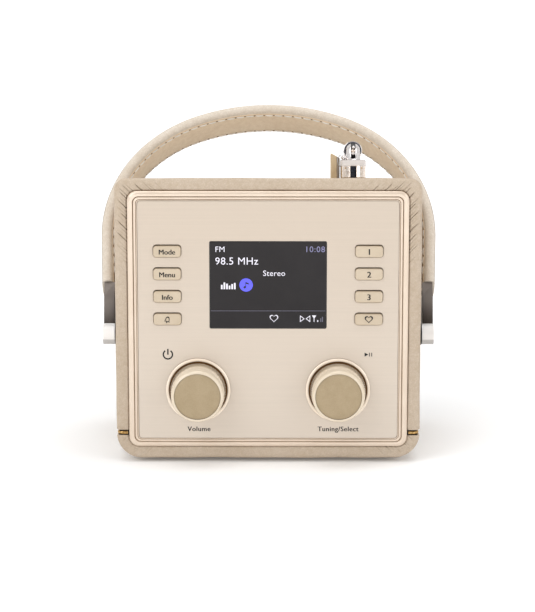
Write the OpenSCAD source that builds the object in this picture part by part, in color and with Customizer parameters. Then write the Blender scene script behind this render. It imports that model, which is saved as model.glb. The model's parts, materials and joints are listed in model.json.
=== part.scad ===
// Portable table radio in a stitched leather wrap, with a swinging strap handle,
// a telescopic aerial and a brushed front panel.
// X runs to the right, Y to the back and Z up. The origin is the centre of the
// underside of the rubber base pad.

/* [Case] */
// Width over the leather
case_w = 153; // [150:1:160]
// Height of the front, without the base pad
case_h = 143; // [141:1:148]
// Depth from the leather front to the leather back
case_d = 95; // [92:1:105]
// Fall of the top towards the back, in degrees
top_slope = 9.5; // [8:0.5:10]
// Radius of the two top edges
top_r = 6.5; // [5:0.5:8]
// Radius of the two bottom edges
bottom_r = 13; // [11:0.5:15]
// Thickness of the leather
leather_t = 1.6; // [1.2:0.1:2]
// Width of the leather rim round the front and the back
rim_w = 6.3; // [5.5:0.1:7]
// Wall of the cabinet under the leather
shell_t = 3.2; // [2.5:0.1:4]
// Height of the seam slot above the underside of the case
seam_z = 12; // [11:0.5:14]
// Height of the seam slot
seam_h = 2.6; // [2:0.1:3]
// Thickness of the rubber base pad
pad_t = 2; // [1.5:0.1:3]

/* [Front] */
// Width of the frame's flat band round the brushed panel
bezel_band = 5.1; // [4.5:0.1:6]
// How far the frame stands in front of the leather
bezel_proud = 1.4; // [1:0.1:2]
// How far the panel stands in front of the leather
panel_proud = 0.4; // [0.2:0.1:0.6]
// Width of the display window
window_w = 58.6; // [56:0.1:62]
// Height of the display window
window_h = 44.4; // [42:0.1:46]
// Height of the window's centre above the base
window_z = 91.2; // [88:0.1:94]
// Distance of each column of buttons from the middle
button_x = 50.3; // [48:0.1:52]
// Distance between two buttons of a column
button_pitch = 11.45; // [11:0.05:12]
// Width of a button
button_w = 13.8; // [12:0.1:14.5]
// Height of a button
button_h = 6.1; // [5:0.1:7]
// Travel of a button
button_travel = 0.6; // [0.3:0.1:0.8]

/* [Knobs] */
// Distance of each knob from the middle
knob_x = 35.1; // [33:0.1:38]
// Height of the knob axes above the base
knob_z = 37.6; // [35:0.1:40]
// Radius of the knob at the panel
knob_r = 14; // [13:0.1:15]
// How far the knob stands off the panel
knob_len = 15.8; // [14:0.1:18]
// Radius of the disc let into the knob's face
cap_r = 11.8; // [11:0.1:12.2]
// Radius of the thin collar on the panel
collar_r = 16.3; // [15.5:0.1:17.5]
// Travel of a knob that is pushed
knob_travel = 0.5; // [0.3:0.1:0.7]

/* [Handle] */
// Height of the handle's pivots above the base
pivot_z = 56.5; // [54:0.5:59]
// Lean of the handle to the back, from upright, in degrees
handle_lean = 37; // [30:1:45]
// Distance from the pivots to the top of the strap
handle_reach = 133.5; // [130:0.1:138]
// Half of the greatest width of the handle
handle_half = 88.3; // [87.2:0.1:90]
// Width of the strap
strap_w = 22.5; // [20:0.5:24]
// Thickness of the strap
strap_t = 6; // [5.6:0.1:6.4]
// Distance from the pivots to the ends of the leather
strap_end = 25.4; // [24.5:0.1:29]

/* [Aerial] */
// Distance of the aerial from the middle
aerial_x = 43; // [40:0.5:45]
// Distance of the aerial behind the front
aerial_back = 32; // [30:0.5:36]
// Length of the outermost tube
tube_len = 43; // [38:1:44]

/* [Back] */
// Height of the loudspeaker's centre above the base
speaker_z = 83; // [81:1:84]
// Distance of the loudspeaker's centre from the middle
speaker_x = -18; // [-22:1:-16]
// Radius of the loudspeaker's frame
speaker_r = 35; // [33:0.5:35]
// Width of the battery door
door_w = 108; // [106:1:112]
// Height of the battery door
door_h = 33; // [32:0.5:34]

/* [Hidden] */
$fn = 64;

front_y = -case_d / 2;
back_y = case_d / 2;
base_z = pad_t;
front_top_z = base_z + case_h;
back_top_z = front_top_z - case_d * tan(top_slope);
gap = 0.1; // between pieces of one body that slide together when it is built
far = 250; // longer than the whole case

// Front frame and panel
bezel_w = case_w - 2 * rim_w - 2 * gap;
bezel_h = case_h - 2 * rim_w - 2 * gap;
bezel_z = base_z + case_h / 2;
bezel_r = 5;
bezel_lip = 2; // how far the frame overlaps the cabinet's front wall
panel_w = bezel_w - 2 * bezel_band;
panel_h = bezel_h - 2 * bezel_band + 0.8;
panel_z = bezel_z - 0.4; // the band is a little wider at the top
panel_r = 1.6;
panel_t = 1;
panel_y = front_y - panel_proud;
panel_back_y = panel_y + panel_t;
plate_back_y = panel_back_y + 3; // back of the frame's own plate
window_r = 0.8;

// Buttons, front board and encoders
button_r = 1.6;
button_gap = 0.25;
button_proud = 1.2;
button_flange_t = 1;
button_flange_w = 1.2; // how far the flange stands out round the cap
stem_rod_r = 1.5; // stem between a button and its switch
board_y = front_y + 10.4;
board_t = 1.6;
switch_w = 6;
switch_t = 3.2;
bushing_r = 3.5;
shaft_r = 3;
shaft_run = 0.06; // running clearance of a shaft in its bushing
shaft_flat = 1.3; // depth of the flat on a shaft
encoder_w = 12.4;
rotor_r = 5;
rotor_t = 2.6;
knob_foot = 1.4; // gap between the panel and a knob
knob_taper = 0.9;
knob_edge_r = 1.4;
cap_t = 1.2;
knob_hub_r = 5.2; // hub round the shaft, inside the hollow
knob_wall = 1.8;
knob_hollow = 8;
shaft_in_knob = 7.5;

// Back
back_rim_h = back_top_z - base_z - 2 * rim_w - 2 * gap;
back_z = base_z + (back_top_z - base_z) / 2;
back_t = 2.5;
back_face_y = back_y - 0.8;
back_inner_y = back_face_y - back_t;
door_z = base_z + rim_w + 4.4 + door_h / 2;
door_t = 2;
door_pin_r = 1;
door_gap = 0.3;
cell_r = 7.2;
cell_len = 50;
bay_w = door_w - 4;
bay_h = door_h - 3.4;
bay_d = 17;
bay_wall = 1.4;
sockets_x = 52;
phones_z = 96;
power_z = 78;
phones_r = 1.8;
phones_len = 13;
main_board_y = 29;
main_board_x = 48;
power_w = 9.2;
power_h = 3.6;
power_wall = 0.3;
screw_r = 1.5;
screw_head_r = 2.8;
case_screw_x = 63;
speaker_rim_w = 5; // width of the frame's flat rim
speaker_rim_t = 3;
speaker_neck_r = 17; // where the frame meets the magnet
speaker_seat_r = 10; // hole in the frame's back
speaker_len = 18; // from the rim to the magnet
magnet_r = 19;
magnet_t = 11;
grille_pitch = 4.4;
grille_hole_r = 1.1;

// Handle: an arc over the top, a tighter arc at each shoulder and straight sides
strap_top_r = 110;
shoulder_from = 22; // degrees from upright where the shoulder arc begins
side_tilt = 2.6; // lean of the straight sides, in degrees
shoulder_r = (handle_half - strap_top_r * sin(shoulder_from)) / (1 - sin(shoulder_from));
top_c = handle_reach - strap_top_r;
shoulder_cx = (strap_top_r - shoulder_r) * sin(shoulder_from);
shoulder_cz = top_c + (strap_top_r - shoulder_r) * cos(shoulder_from);
leather_face = 4.5; // thickness of the strap's outer leather
core_t = 0.8;
core_w = 14;
arc_steps = 16;
tongue_len = 13.5; // how far a bracket reaches into the strap
strap_screw_y = 5;
strap_screw_down = 3.2; // from the strap's end to the screws
strap_screw_r = 1.2;
strap_screw_head_r = 2.5;
strap_screw_head_t = 1.2;
strap_screw_out = 0.3; // how far the heads stand out of the arm
plate_t = 2.6;
plate_w = 13;
plate_h = 31;
plate_up = 9.3; // from the pivot to the plate's middle
washer_t = 0.6;
boss_r = 5.4;
boss_in = case_w / 2 + plate_t + washer_t + 0.2;
boss_out = 86;
arm_in = 80.3;
arm_out = 85.7;
arm_root = 2; // half of the arm's width at the pivot
bolt_r = 3;
bolt_thread_r = 2;
bolt_head_r = 4.2;
bolt_head_t = 1.6;
bolt_run = 0.06;

// Aerial, in a frame that stands on the sloping top
aerial_y = front_y + aerial_back;
aerial_z = front_top_z - aerial_back * tan(top_slope);
barrel_r = 6.4;
barrel_z = 0.9;
barrel_h = 6.1;
collar_h = 3;
post_r = 3.6;
hinge_z = 15;
slot_w = 2.4;
pin_r = 1;
pin_run = 0.05;
stem_r = 3;
stem_len = 9;
ferrule_r = 4.8;
ferrule_y = 4.1;
ferrule_len = 5;
tube_rs = [3.6, 3.04, 2.48, 1.92]; // outer radii, each 0.05 inside the tube before
tube_wall = 0.51;
tube_step = 2; // how far each closed tube shows past the one before
tip_r = 3.2;
tip_len = 4;
cheek_x = -11.2; // left side of the cheek, from the barrel's axis
cheek_w = 2.9;
cheek_h = 13.6;
cheek_slant = 1.5; // fall of its top over that width
cheek_flare = 1.7; // how much wider it gets beside the barrel
cheek_front = 1.5; // from the barrel's axis back to the cheek
cheek_len = 12.5;

// ---------------------------------------------------------------- helpers

// What a right-angled corner loses when it is rounded, at the +X +Z side
module corner_off(r) {
  difference() {
    square(r + 1);
    circle(r = r);
  }
}

// Rectangle centred on the origin, with rounded corners
module round_rect(w, h, r) {
  difference() {
    square([w, h], center = true);
    for (sx = [0, 1], sz = [0, 1])
      mirror([sx, 0]) mirror([0, sz]) translate([w / 2 - r, h / 2 - r]) corner_off(r);
  }
}

// The same as a plate from y0 to y1, centred on x and z
module plate(w, h, r, y0, y1, x = 0, z = 0) {
  translate([x, y1, z]) rotate([90, 0, 0]) linear_extrude(y1 - y0) round_rect(w, h, r);
}

// A cylinder along Y from y0 to y1
module rod_y(r, y0, y1, x = 0, z = 0) {
  translate([x, y1, z]) rotate([90, 0, 0]) cylinder(r = r, h = y1 - y0);
}

// A cylinder along X from x0 to x1
module rod_x(r, x0, x1, y = 0, z = 0) {
  translate([x0, y, z]) rotate([0, 90, 0]) cylinder(r = r, h = x1 - x0);
}

// A box given by its lowest and highest corners
module block(low, high) {
  translate(low) cube(high - low);
}

// The closed outer shape of the case, made smaller by inset, from y0 to y1
module envelope(inset, y0, y1) {
  half = case_w / 2 - inset;
  intersection() {
    translate([0, y1, base_z + inset]) rotate([90, 0, 0]) linear_extrude(y1 - y0)
      difference() {
        translate([-half, 0]) square([2 * half, far]);
        for (s = [0, 1])
          mirror([s, 0]) translate([half - bottom_r + inset, bottom_r - inset])
            mirror([0, 1]) corner_off(bottom_r - inset);
      }
    translate([0, front_y, front_top_z]) rotate([90 - top_slope, 0, 0])
      translate([0, -inset, -far]) linear_extrude(2 * far) difference() {
        translate([-half, -far]) square([2 * half, far]);
        for (s = [0, 1])
          mirror([s, 0]) translate([half - top_r + inset, inset - top_r])
            corner_off(top_r - inset);
      }
  }
}

// Everything that the front frame and the back panel take out of the case's ends
module end_openings(shrink) {
  plate(bezel_w + 2 * gap - shrink, bezel_h + 2 * gap - shrink, bezel_r,
    front_y - 1, front_y + 20, 0, bezel_z);
  plate(bezel_w + 2 * gap - shrink, back_rim_h + 2 * gap - shrink, bezel_r,
    back_y - 20, back_y + 1, 0, back_z);
}

// Puts its children on the sloping top, where the aerial stands
module on_top() {
  translate([aerial_x, aerial_y, aerial_z]) rotate([-top_slope, 0, 0]) children();
}

// Puts its children on the pivots, leaning with the handle
module on_pivots() {
  translate([0, 0, pivot_z]) rotate([-handle_lean, 0, 0]) children();
}

// ------------------------------------------------------------------- case

// Tray that the leather is glued to, with a wall behind each rim
module cabinet_shell() {
  color("dimgray") difference() {
    envelope(leather_t, front_y + leather_t, back_y - leather_t);
    difference() {
      envelope(leather_t + shell_t, front_y + leather_t + 2.4, back_y - 5.7);
      for (x = [-1, 1])
        rod_x(8, min(x * 60, x * case_w / 2), max(x * 60, x * case_w / 2), 0, pivot_z);
    }
    end_openings(2 * bezel_lip);
    plate(bezel_w + 2 * gap, back_rim_h + 2 * gap, bezel_r, back_inner_y, back_y, 0, back_z);
    rod_x(bolt_thread_r, -case_w, case_w, 0, pivot_z);
    for (p = case_screw_places())
      rod_y(screw_r + 0.05, back_y - 20, back_y, p[0], p[1]);
    on_top() translate([0, 0, -far / 4]) cylinder(r = stem_r + 2, h = far / 2);
  }
}

// One of the two leathers: everything between z0 and z1
module leather_between(z0, z1) {
  difference() {
    intersection() {
      envelope(0, front_y, back_y);
      block([-case_w, -case_d, z0], [case_w, case_d, z1]);
    }
    envelope(leather_t, front_y + leather_t, back_y - leather_t);
    end_openings(0);
    rod_x(bolt_r + gap, -case_w, case_w, 0, pivot_z);
    on_top() translate([0, 0, -far / 4]) cylinder(r = stem_r + 2, h = far / 2);
  }
}

module upper_leather_wrap() {
  color("tan") leather_between(base_z + seam_z + seam_h, far);
}

module lower_leather_wrap() {
  color("tan") leather_between(0, base_z + seam_z);
}

// Brass strips in the seam, one each side, a little under the leather's face
module seam_trims() {
  sink = 0.4;
  color("goldenrod") difference() {
    intersection() {
      envelope(sink, front_y + sink, back_y - sink);
      block([-case_w, -case_d, base_z + seam_z + sink],
        [case_w, case_d, base_z + seam_z + seam_h - sink]);
    }
    envelope(leather_t, front_y + leather_t, back_y - leather_t);
    end_openings(0);
  }
}

module base_pad() {
  color("black") linear_extrude(pad_t) round_rect(126, 74, 8);
}

// ------------------------------------------------------------------ front

// The x and z of button number i, counted down the left column, then the right
function button_place(i) =
  [(i < 4 ? -1 : 1) * button_x, window_z - ((i % 4) - 1.5) * button_pitch];

module button_holes(grow, y0, y1) {
  for (i = [0:7])
    plate(button_w + 2 * grow, button_h + 2 * grow, button_r + grow, y0, y1,
      button_place(i)[0], button_place(i)[1]);
}

// Moulded frame with a plate behind the panel, let into the leather rim
module front_bezel() {
  color("wheat") difference() {
    union() {
      plate(bezel_w, bezel_h, bezel_r - gap, front_y - bezel_proud, front_y + leather_t,
        0, bezel_z);
      plate(bezel_w - 2 * bezel_lip, bezel_h - 2 * bezel_lip, bezel_r - gap,
        panel_back_y, plate_back_y, 0, bezel_z);
    }
    plate(panel_w, panel_h, panel_r, front_y - 5, panel_back_y, 0, panel_z);
    plate(window_w, window_h, window_r, front_y - 5, plate_back_y + 1, 0, window_z);
    button_holes(button_gap, front_y - 5, plate_back_y + 1);
    for (x = [-knob_x, knob_x])
      rod_y(bushing_r + gap, front_y - 5, plate_back_y + 1, x, knob_z);
  }
}

// Brushed metal sheet
module front_panel() {
  color("antiquewhite") difference() {
    plate(panel_w - gap, panel_h - gap, panel_r, panel_y, panel_back_y, 0, panel_z);
    plate(window_w, window_h, window_r, panel_y - 1, panel_back_y + 1, 0, window_z);
    button_holes(button_gap, panel_y - 1, panel_back_y + 1);
    for (x = [-knob_x, knob_x])
      rod_y(bushing_r + gap, panel_y - 1, panel_back_y + 1, x, knob_z);
  }
}

module display_window() {
  color("black")
    plate(window_w - gap, window_h - gap, window_r, panel_y + 0.25, front_y + 2.2, 0, window_z);
}

module display_module() {
  color("darkslategray")
    plate(window_w + 8, window_h + 8, 1, plate_back_y + 0.2, board_y, 0, window_z);
}

module front_circuit_board() {
  color("green") plate(panel_w - 8, panel_h - 8, 2, board_y, board_y + board_t, 0, bezel_z);
}

// Eight switches on the front board, each with a well for its button's stem
module tact_switches() {
  color("silver") for (i = [0:7])
    difference() {
      plate(switch_w, switch_w, 0.5, board_y - switch_t, board_y,
        button_place(i)[0], button_place(i)[1]);
      rod_y(stem_rod_r + 0.3, board_y - switch_t - 1, board_y - switch_t + button_travel + 0.3,
        button_place(i)[0], button_place(i)[1]);
    }
}

// Cap, flange behind the frame's plate, and a stem that reaches the switch
module push_button(i) {
  x = button_place(i)[0];
  z = button_place(i)[1];
  color("burlywood") union() {
    plate(button_w, button_h, button_r, panel_y - button_proud, plate_back_y + 0.2, x, z);
    plate(button_w + 2 * button_flange_w, button_h + 2 * button_flange_w, button_r, plate_back_y + 0.2,
      plate_back_y + 0.2 + button_flange_t, x, z);
    rod_y(stem_rod_r, plate_back_y + 0.2, board_y - switch_t + 0.2, x, z);
  }
}

module mode_button() push_button(0);
module menu_button() push_button(1);
module info_button() push_button(2);
module alarm_button() push_button(3);
module preset_1_button() push_button(4);
module preset_2_button() push_button(5);
module preset_3_button() push_button(6);
module favourite_button() push_button(7);

// ------------------------------------------------------------------ knobs

// Thin collars that lie on the panel round each knob
module knob_collars() {
  color("silver") for (x = [-knob_x, knob_x])
    difference() {
      union() {
        rod_y(collar_r, panel_y - 0.5, panel_y, x, knob_z);
        rod_y(collar_r, panel_y - 1, panel_y - 0.4, x, knob_z);
      }
      rod_y(collar_r - 0.9, panel_y - 2, panel_y - 0.5, x, knob_z);
      rod_y(bushing_r + gap, panel_y - 2, panel_y + 1, x, knob_z);
    }
}

// Square housing on the board, with a threaded bushing through the frame
module encoder(x) {
  rear = board_y;
  front = plate_back_y + gap;
  color("gray") difference() {
    union() {
      plate(encoder_w, encoder_w, 1, front, rear, x, knob_z);
      rod_y(bushing_r, panel_y - 1.1, front + 0.5, x, knob_z);
    }
    rod_y(shaft_r + shaft_run, panel_y - 2, front + 2, x, knob_z);
    rod_y(rotor_r + 0.2, front + 1, rear - 1, x, knob_z);
  }
}

module volume_encoder() encoder(-knob_x);
module tuning_encoder() encoder(knob_x);

// Cross-section of the shaft: a disc with one flat, grown by a clearance
module d_section(grow) {
  difference() {
    circle(r = shaft_r + grow);
    translate([-far / 2, shaft_r - shaft_flat + grow]) square(far);
  }
}

// The shaft's shape along Y from y0 to y1
module d_rod(grow, y0, y1, x) {
  translate([x, y1, knob_z]) rotate([90, 0, 0]) linear_extrude(y1 - y0) d_section(grow);
}

// Contact disc inside the encoder, turned by the shaft's flat
module rotor(x) {
  front = plate_back_y + gap + 1.4;
  color("peru") difference() {
    rod_y(rotor_r, front, front + rotor_t, x, knob_z);
    d_rod(shaft_run, front - 1, front + rotor_t + 1, x);
  }
}

module volume_rotor() rotor(-knob_x);
module tuning_rotor() rotor(knob_x);

// Round in its bushing, with the flat where it carries the rotor and the knob
module shaft(x) {
  inner = board_y - 1.4 - knob_travel;
  outer = panel_y - knob_foot - shaft_in_knob;
  color("silver") union() {
    d_rod(0, outer, inner, x);
    rod_y(shaft_r, panel_y - 1, plate_back_y + gap + 0.6, x, knob_z);
  }
}

module volume_shaft() shaft(-knob_x);
module tuning_shaft() shaft(knob_x);

// Turned body with a slight taper and a round front edge, hollow at the back
module knob(x) {
  back_r = knob_r;
  front_r = knob_r - knob_taper;
  len = knob_len - knob_foot;
  color("oldlace") translate([x, panel_y - knob_foot, knob_z]) difference() {
    rotate([90, 0, 0]) rotate_extrude() difference() {
      union() {
        polygon([[0, 0], [back_r - 0.3, 0], [back_r, 0.3],
          [front_r, len - knob_edge_r], [0, len - knob_edge_r]]);
        translate([0, len - knob_edge_r - 0.5]) square([front_r - knob_edge_r, knob_edge_r + 0.5]);
        translate([front_r - knob_edge_r, len - knob_edge_r]) intersection() {
          circle(r = knob_edge_r);
          square(knob_edge_r);
        }
      }
      translate([0, len - cap_t]) square([cap_r, far]);
      translate([knob_hub_r, -1]) square([back_r - knob_wall - knob_hub_r, knob_hollow + 1]);
    }
    translate([-x, knob_foot - panel_y, -knob_z])
      d_rod(0, panel_y - knob_foot - shaft_in_knob, panel_y, x);
    translate([0, 2, 0]) rod_y(bushing_r + 0.3, -3, 0);
  }
}

module volume_knob() knob(-knob_x);
module tuning_knob() knob(knob_x);

// Disc let into the knob's face
module knob_cap(x) {
  face = panel_y - knob_len;
  color("darkkhaki") rod_y(cap_r - 0.05, face + 0.25, face + cap_t, x, knob_z);
}

module volume_knob_cap() knob_cap(-knob_x);
module tuning_knob_cap() knob_cap(knob_x);

// ------------------------------------------------------------------- back

// Panel with the grille opening, the battery bay and the socket holes
module back_panel() {
  color("dimgray") difference() {
    union() {
      plate(bezel_w, back_rim_h, bezel_r - gap, back_inner_y, back_face_y, 0, back_z);
      plate(bay_w + 2 * bay_wall, bay_h + 2 * bay_wall, 2, back_inner_y - bay_d - bay_wall,
        back_inner_y + 1, 0, door_z);
    }
    plate(bay_w, bay_h, 1, back_inner_y - bay_d, back_y, 0, door_z);
    plate(door_w + 2 * door_gap, door_h + 2 * door_gap, door_gap,
      back_face_y - door_t - door_gap, back_y, 0, door_z);
    rod_x(door_pin_r + 0.05, -door_w / 2 - 3, door_w / 2 + 3, door_axis()[0], door_axis()[1]);
    rod_y(speaker_r - speaker_rim_w, back_inner_y - 1, back_y, speaker_x, speaker_z);
    rod_y(phones_r + 2.3, back_inner_y - 1, back_y, sockets_x, phones_z);
    plate(power_w + 0.4, power_h + 0.4, 1.9, back_inner_y - 1, back_y, sockets_x, power_z);
    for (p = case_screw_places())
      rod_y(screw_r + 0.2, back_inner_y - 1, back_y, p[0], p[1]);
  }
}

function door_axis() = [back_face_y - door_t / 2, door_z - door_h / 2 + door_t / 2];

// Door on two pins at its foot, rounded there so that it can swing
module battery_door() {
  axis = door_axis();
  color("dimgray") union() {
    block([-door_w / 2, back_face_y - door_t, axis[1]],
      [door_w / 2, back_face_y, door_z + door_h / 2]);
    rod_x(door_pin_r, -door_w / 2 - 2, door_w / 2 + 2, axis[0], axis[1]);
    block([-6, back_face_y - 0.5, door_z + door_h / 2 - 6],
      [6, back_face_y + 0.8, door_z + door_h / 2 - 3]);
  }
}

// Two rows of two cells, end to end
module battery_cells() {
  mid_y = back_inner_y - bay_d + cell_r + 1;
  color("royalblue") for (s = [-1, 1], z = [-1, 1])
    translate([s < 0 ? -cell_len - 0.3 : 0.3, mid_y, door_z + z * (cell_r + 0.2)])
      rotate([0, 90, 0]) union() {
        cylinder(r = cell_r, h = cell_len - 1.2);
        translate([0, 0, cell_len - 1.3]) cylinder(r = 2.6, h = 1.3);
      }
}

// Spring plates at both ends of the bay
module battery_contacts() {
  mid_y = back_inner_y - bay_d + cell_r + 1;
  color("silver") for (s = [-1, 1])
    block([s * (bay_w / 2 - 0.35) - 0.3, mid_y - 5, door_z - 12],
      [s * (bay_w / 2 - 0.35) + 0.3, mid_y + 5, door_z + 12]);
}

// Pressed frame, cone and magnet stand one behind the other
module speaker_basket() {
  color("slategray") translate([speaker_x, back_inner_y, speaker_z]) rotate([90, 0, 0])
    rotate_extrude() polygon([[speaker_r - speaker_rim_w, 0], [speaker_r, 0],
      [speaker_r, speaker_rim_t], [speaker_r - 3.2, speaker_rim_t],
      [speaker_neck_r, speaker_len - 2], [speaker_neck_r, speaker_len],
      [speaker_seat_r, speaker_len], [speaker_seat_r, speaker_len - 2],
      [speaker_neck_r - 1.6, speaker_len - 2],
      [speaker_r - speaker_rim_w, speaker_rim_t + 1]]);
}

module speaker_cone() {
  color("black") translate([speaker_x, back_inner_y, speaker_z]) rotate([90, 0, 0])
    rotate_extrude() let (edge = speaker_r - speaker_rim_w - 0.2, floor = speaker_len - 2.6)
      polygon([[0, 8], [8, 11], [speaker_seat_r, 14], [edge - 1, 2.4],
        [edge, 2.4], [edge, 3.4], [speaker_seat_r, floor], [0, floor]]);
}

module speaker_magnet() {
  color("gray") translate([speaker_x, back_inner_y, speaker_z]) rotate([90, 0, 0])
    translate([0, 0, speaker_len]) cylinder(r = magnet_r, h = magnet_t);
}

// Punched disc in the back panel's opening
module speaker_grille() {
  grille_r = speaker_r - speaker_rim_w - gap;
  color("darkgray") difference() {
    rod_y(grille_r, back_inner_y + 0.4, back_face_y - 0.3, speaker_x, speaker_z);
    for (i = [-6:6], j = [-6:6])
      let (at = [i + j / 2, j * sin(60)] * grille_pitch)
        if (norm(at) < grille_r - 3)
          rod_y(grille_hole_r, back_inner_y - 1, back_y, speaker_x + at[0], speaker_z + at[1]);
  }
}

module main_circuit_board() {
  color("green") plate(40, 62, 2, main_board_y, main_board_y + board_t,
    main_board_x, speaker_z);
}

function case_screw_places() =
  [for (sx = [-1, 1], z = [base_z + rim_w + 3.2, back_z + back_rim_h / 2 - 4]) [sx * case_screw_x, z]];

// Four screws that hold the back panel to the cabinet
module case_screws() {
  color("silver") for (p = case_screw_places())
    union() {
      rod_y(screw_r, back_inner_y - 2, back_face_y, p[0], p[1]);
      rod_y(screw_head_r, back_face_y, back_face_y + 0.7, p[0], p[1]);
    }
}

// 3.5 mm socket: its bore is open at the back
module headphone_socket() {
  color("black") difference() {
    union() {
      rod_y(phones_r + 2.2, back_face_y - phones_len, back_face_y, sockets_x, phones_z);
      plate(10, 10, 1, main_board_y + board_t, back_inner_y - 0.3, sockets_x, phones_z);
    }
    rod_y(phones_r, back_face_y - phones_len, back_y, sockets_x, phones_z);
  }
}

// Flat power inlet with its tongue
module power_socket() {
  color("silver") union() {
    difference() {
      plate(power_w, power_h, 1.7, main_board_y + board_t, back_face_y - 0.2,
        sockets_x, power_z);
      plate(power_w - 2 * power_wall, power_h - 2 * power_wall, 1.4, back_face_y - 7, back_y,
        sockets_x, power_z);
    }
    plate(6.4, 0.8, 0.2, back_face_y - 7.5, back_face_y - 1.4, sockets_x, power_z);
  }
}

// ----------------------------------------------------------------- handle

// Points along an arc whose angles are counted from upright, towards +X
function arc(cx, cz, r, from, to) =
  [for (i = [0:arc_steps]) let (a = from + (to - from) * i / arc_steps)
    [cx + r * sin(a), cz + r * cos(a)]];

// The strap's right half at a depth below its outer face, from the top to z = end
function half_line(depth, end) =
  let (
    side_r = shoulder_r - depth,
    foot_x = shoulder_cx + side_r * cos(side_tilt),
    foot_z = shoulder_cz - side_r * sin(side_tilt)
  )
  concat(
    arc(0, top_c, strap_top_r - depth, 0, shoulder_from),
    arc(shoulder_cx, shoulder_cz, side_r, shoulder_from, 90 + side_tilt),
    [[foot_x - (foot_z - end) * tan(side_tilt), end]]
  );

function mirrored(line) = [for (p = line) [-p[0], p[1]]];

function reversed(line) = [for (i = [len(line) - 1:-1:0]) line[i]];

// A curved layer of the strap between two depths below its outer face
module strap_band(depth0, depth1, w, end) {
  outer = half_line(depth0, end);
  inner = half_line(depth1, end);
  rotate([90, 0, 0]) linear_extrude(w, center = true)
    polygon(concat(outer, reversed(inner), mirrored(inner), reversed(mirrored(outer))));
}

module handle_leather() {
  color("bisque") on_pivots() strap_band(0, leather_face, strap_w, strap_end);
}

// Lining with the pocket that the spring core lies in
module handle_lining() {
  color("burlywood") on_pivots() difference() {
    strap_band(leather_face, strap_t, strap_w - 1, strap_end);
    strap_band(leather_face - 0.01, leather_face + core_t, core_w + 0.2, strap_end);
  }
}

module handle_core() {
  color("gray") on_pivots()
    strap_band(leather_face, leather_face + core_t - 0.02, core_w, strap_end + tongue_len + 0.5);
}

// Arm from the pivot to the strap, with a tongue inside the strap's pocket
module handle_bracket(s) {
  arm_top = strap_end - 0.2;
  color("lightgray") on_pivots() mirror([s < 0 ? 1 : 0, 0, 0]) difference() {
    union() {
      rod_x(boss_r, boss_in, boss_out);
      translate([arm_in, 0, 0]) rotate([90, 0, 90]) linear_extrude(arm_out - arm_in)
        polygon([[-arm_root, 0], [arm_root, 0], [strap_w / 2 - 1.5, arm_top - 8],
          [strap_w / 2 - 1.5, arm_top], [1.5 - strap_w / 2, arm_top],
          [1.5 - strap_w / 2, arm_top - 8]]);
      tongue();
    }
    rod_x(bolt_r + bolt_run, boss_in - 1, boss_out + 1);
    rod_x(bolt_head_r + 0.2, boss_out - bolt_head_t, boss_out + 1);
    for (y = [-strap_screw_y, strap_screw_y]) {
      rod_x(strap_screw_head_r, arm_in - 1, arm_in + strap_screw_head_t, y,
        arm_top - strap_screw_down);
      rod_x(strap_screw_r, arm_in - 1, arm_out - 1, y, arm_top - strap_screw_down);
    }
  }
}

// The part of a bracket that lies between the leather and the lining
module tongue() {
  intersection() {
    strap_band(leather_face + 0.02, leather_face + core_t - 0.02, core_w, strap_end - 6);
    block([0, -strap_w, 0], [case_w, strap_w, strap_end + tongue_len]);
  }
}

module left_handle_bracket() handle_bracket(-1);
module right_handle_bracket() handle_bracket(1);

// Two screws in each bracket, from inside the loop
module strap_screws() {
  at = strap_end - 0.2 - strap_screw_down;
  color("silver") on_pivots() for (s = [0, 1], y = [-strap_screw_y, strap_screw_y])
    mirror([s, 0, 0]) union() {
      rod_x(strap_screw_head_r - 0.1, arm_in - strap_screw_out, arm_in + strap_screw_head_t,
        y, at);
      rod_x(strap_screw_r - 0.05, arm_in, arm_out - 1.2, y, at);
    }
}

// Black plates on the sides, under the handle's arms
module side_plates() {
  color("black") for (s = [0, 1])
    mirror([s, 0, 0]) difference() {
      translate([case_w / 2, 0, pivot_z + plate_up]) rotate([90, 0, 90])
        linear_extrude(plate_t) round_rect(plate_w, plate_h, 6.4);
      rod_x(bolt_r + bolt_run, case_w / 2 - 1, case_w / 2 + plate_t + 1, 0, pivot_z);
    }
}

module pivot_washers() {
  color("black") for (s = [0, 1])
    mirror([s, 0, 0]) difference() {
      rod_x(boss_r + 0.3, case_w / 2 + plate_t, case_w / 2 + plate_t + washer_t, 0, pivot_z);
      rod_x(bolt_r + bolt_run, case_w / 2, case_w, 0, pivot_z);
    }
}

// Shouldered bolts that the handle turns on, screwed into the cabinet
module pivot_bolts() {
  color("silver") for (s = [0, 1])
    mirror([s, 0, 0]) union() {
      rod_x(bolt_thread_r, 62, case_w / 2, 0, pivot_z);
      rod_x(bolt_r, case_w / 2 - leather_t + 0.1, boss_out - bolt_head_t + 0.2, 0, pivot_z);
      rod_x(bolt_head_r, boss_out - bolt_head_t + 0.1, boss_out - 0.1, 0, pivot_z);
    }
}

// ----------------------------------------------------------------- aerial

// Flange and socket that the aerial swivels in
module antenna_base() {
  color("wheat") on_top() difference() {
    union() {
      cylinder(r = barrel_r + 0.6, h = barrel_z - 0.1);
      translate([0, 0, -stem_len]) cylinder(r = stem_r + 1.9, h = stem_len + 0.1);
    }
    translate([0, 0, -stem_len - 1]) cylinder(r = stem_r + 0.06, h = stem_len + 3);
  }
}

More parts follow.
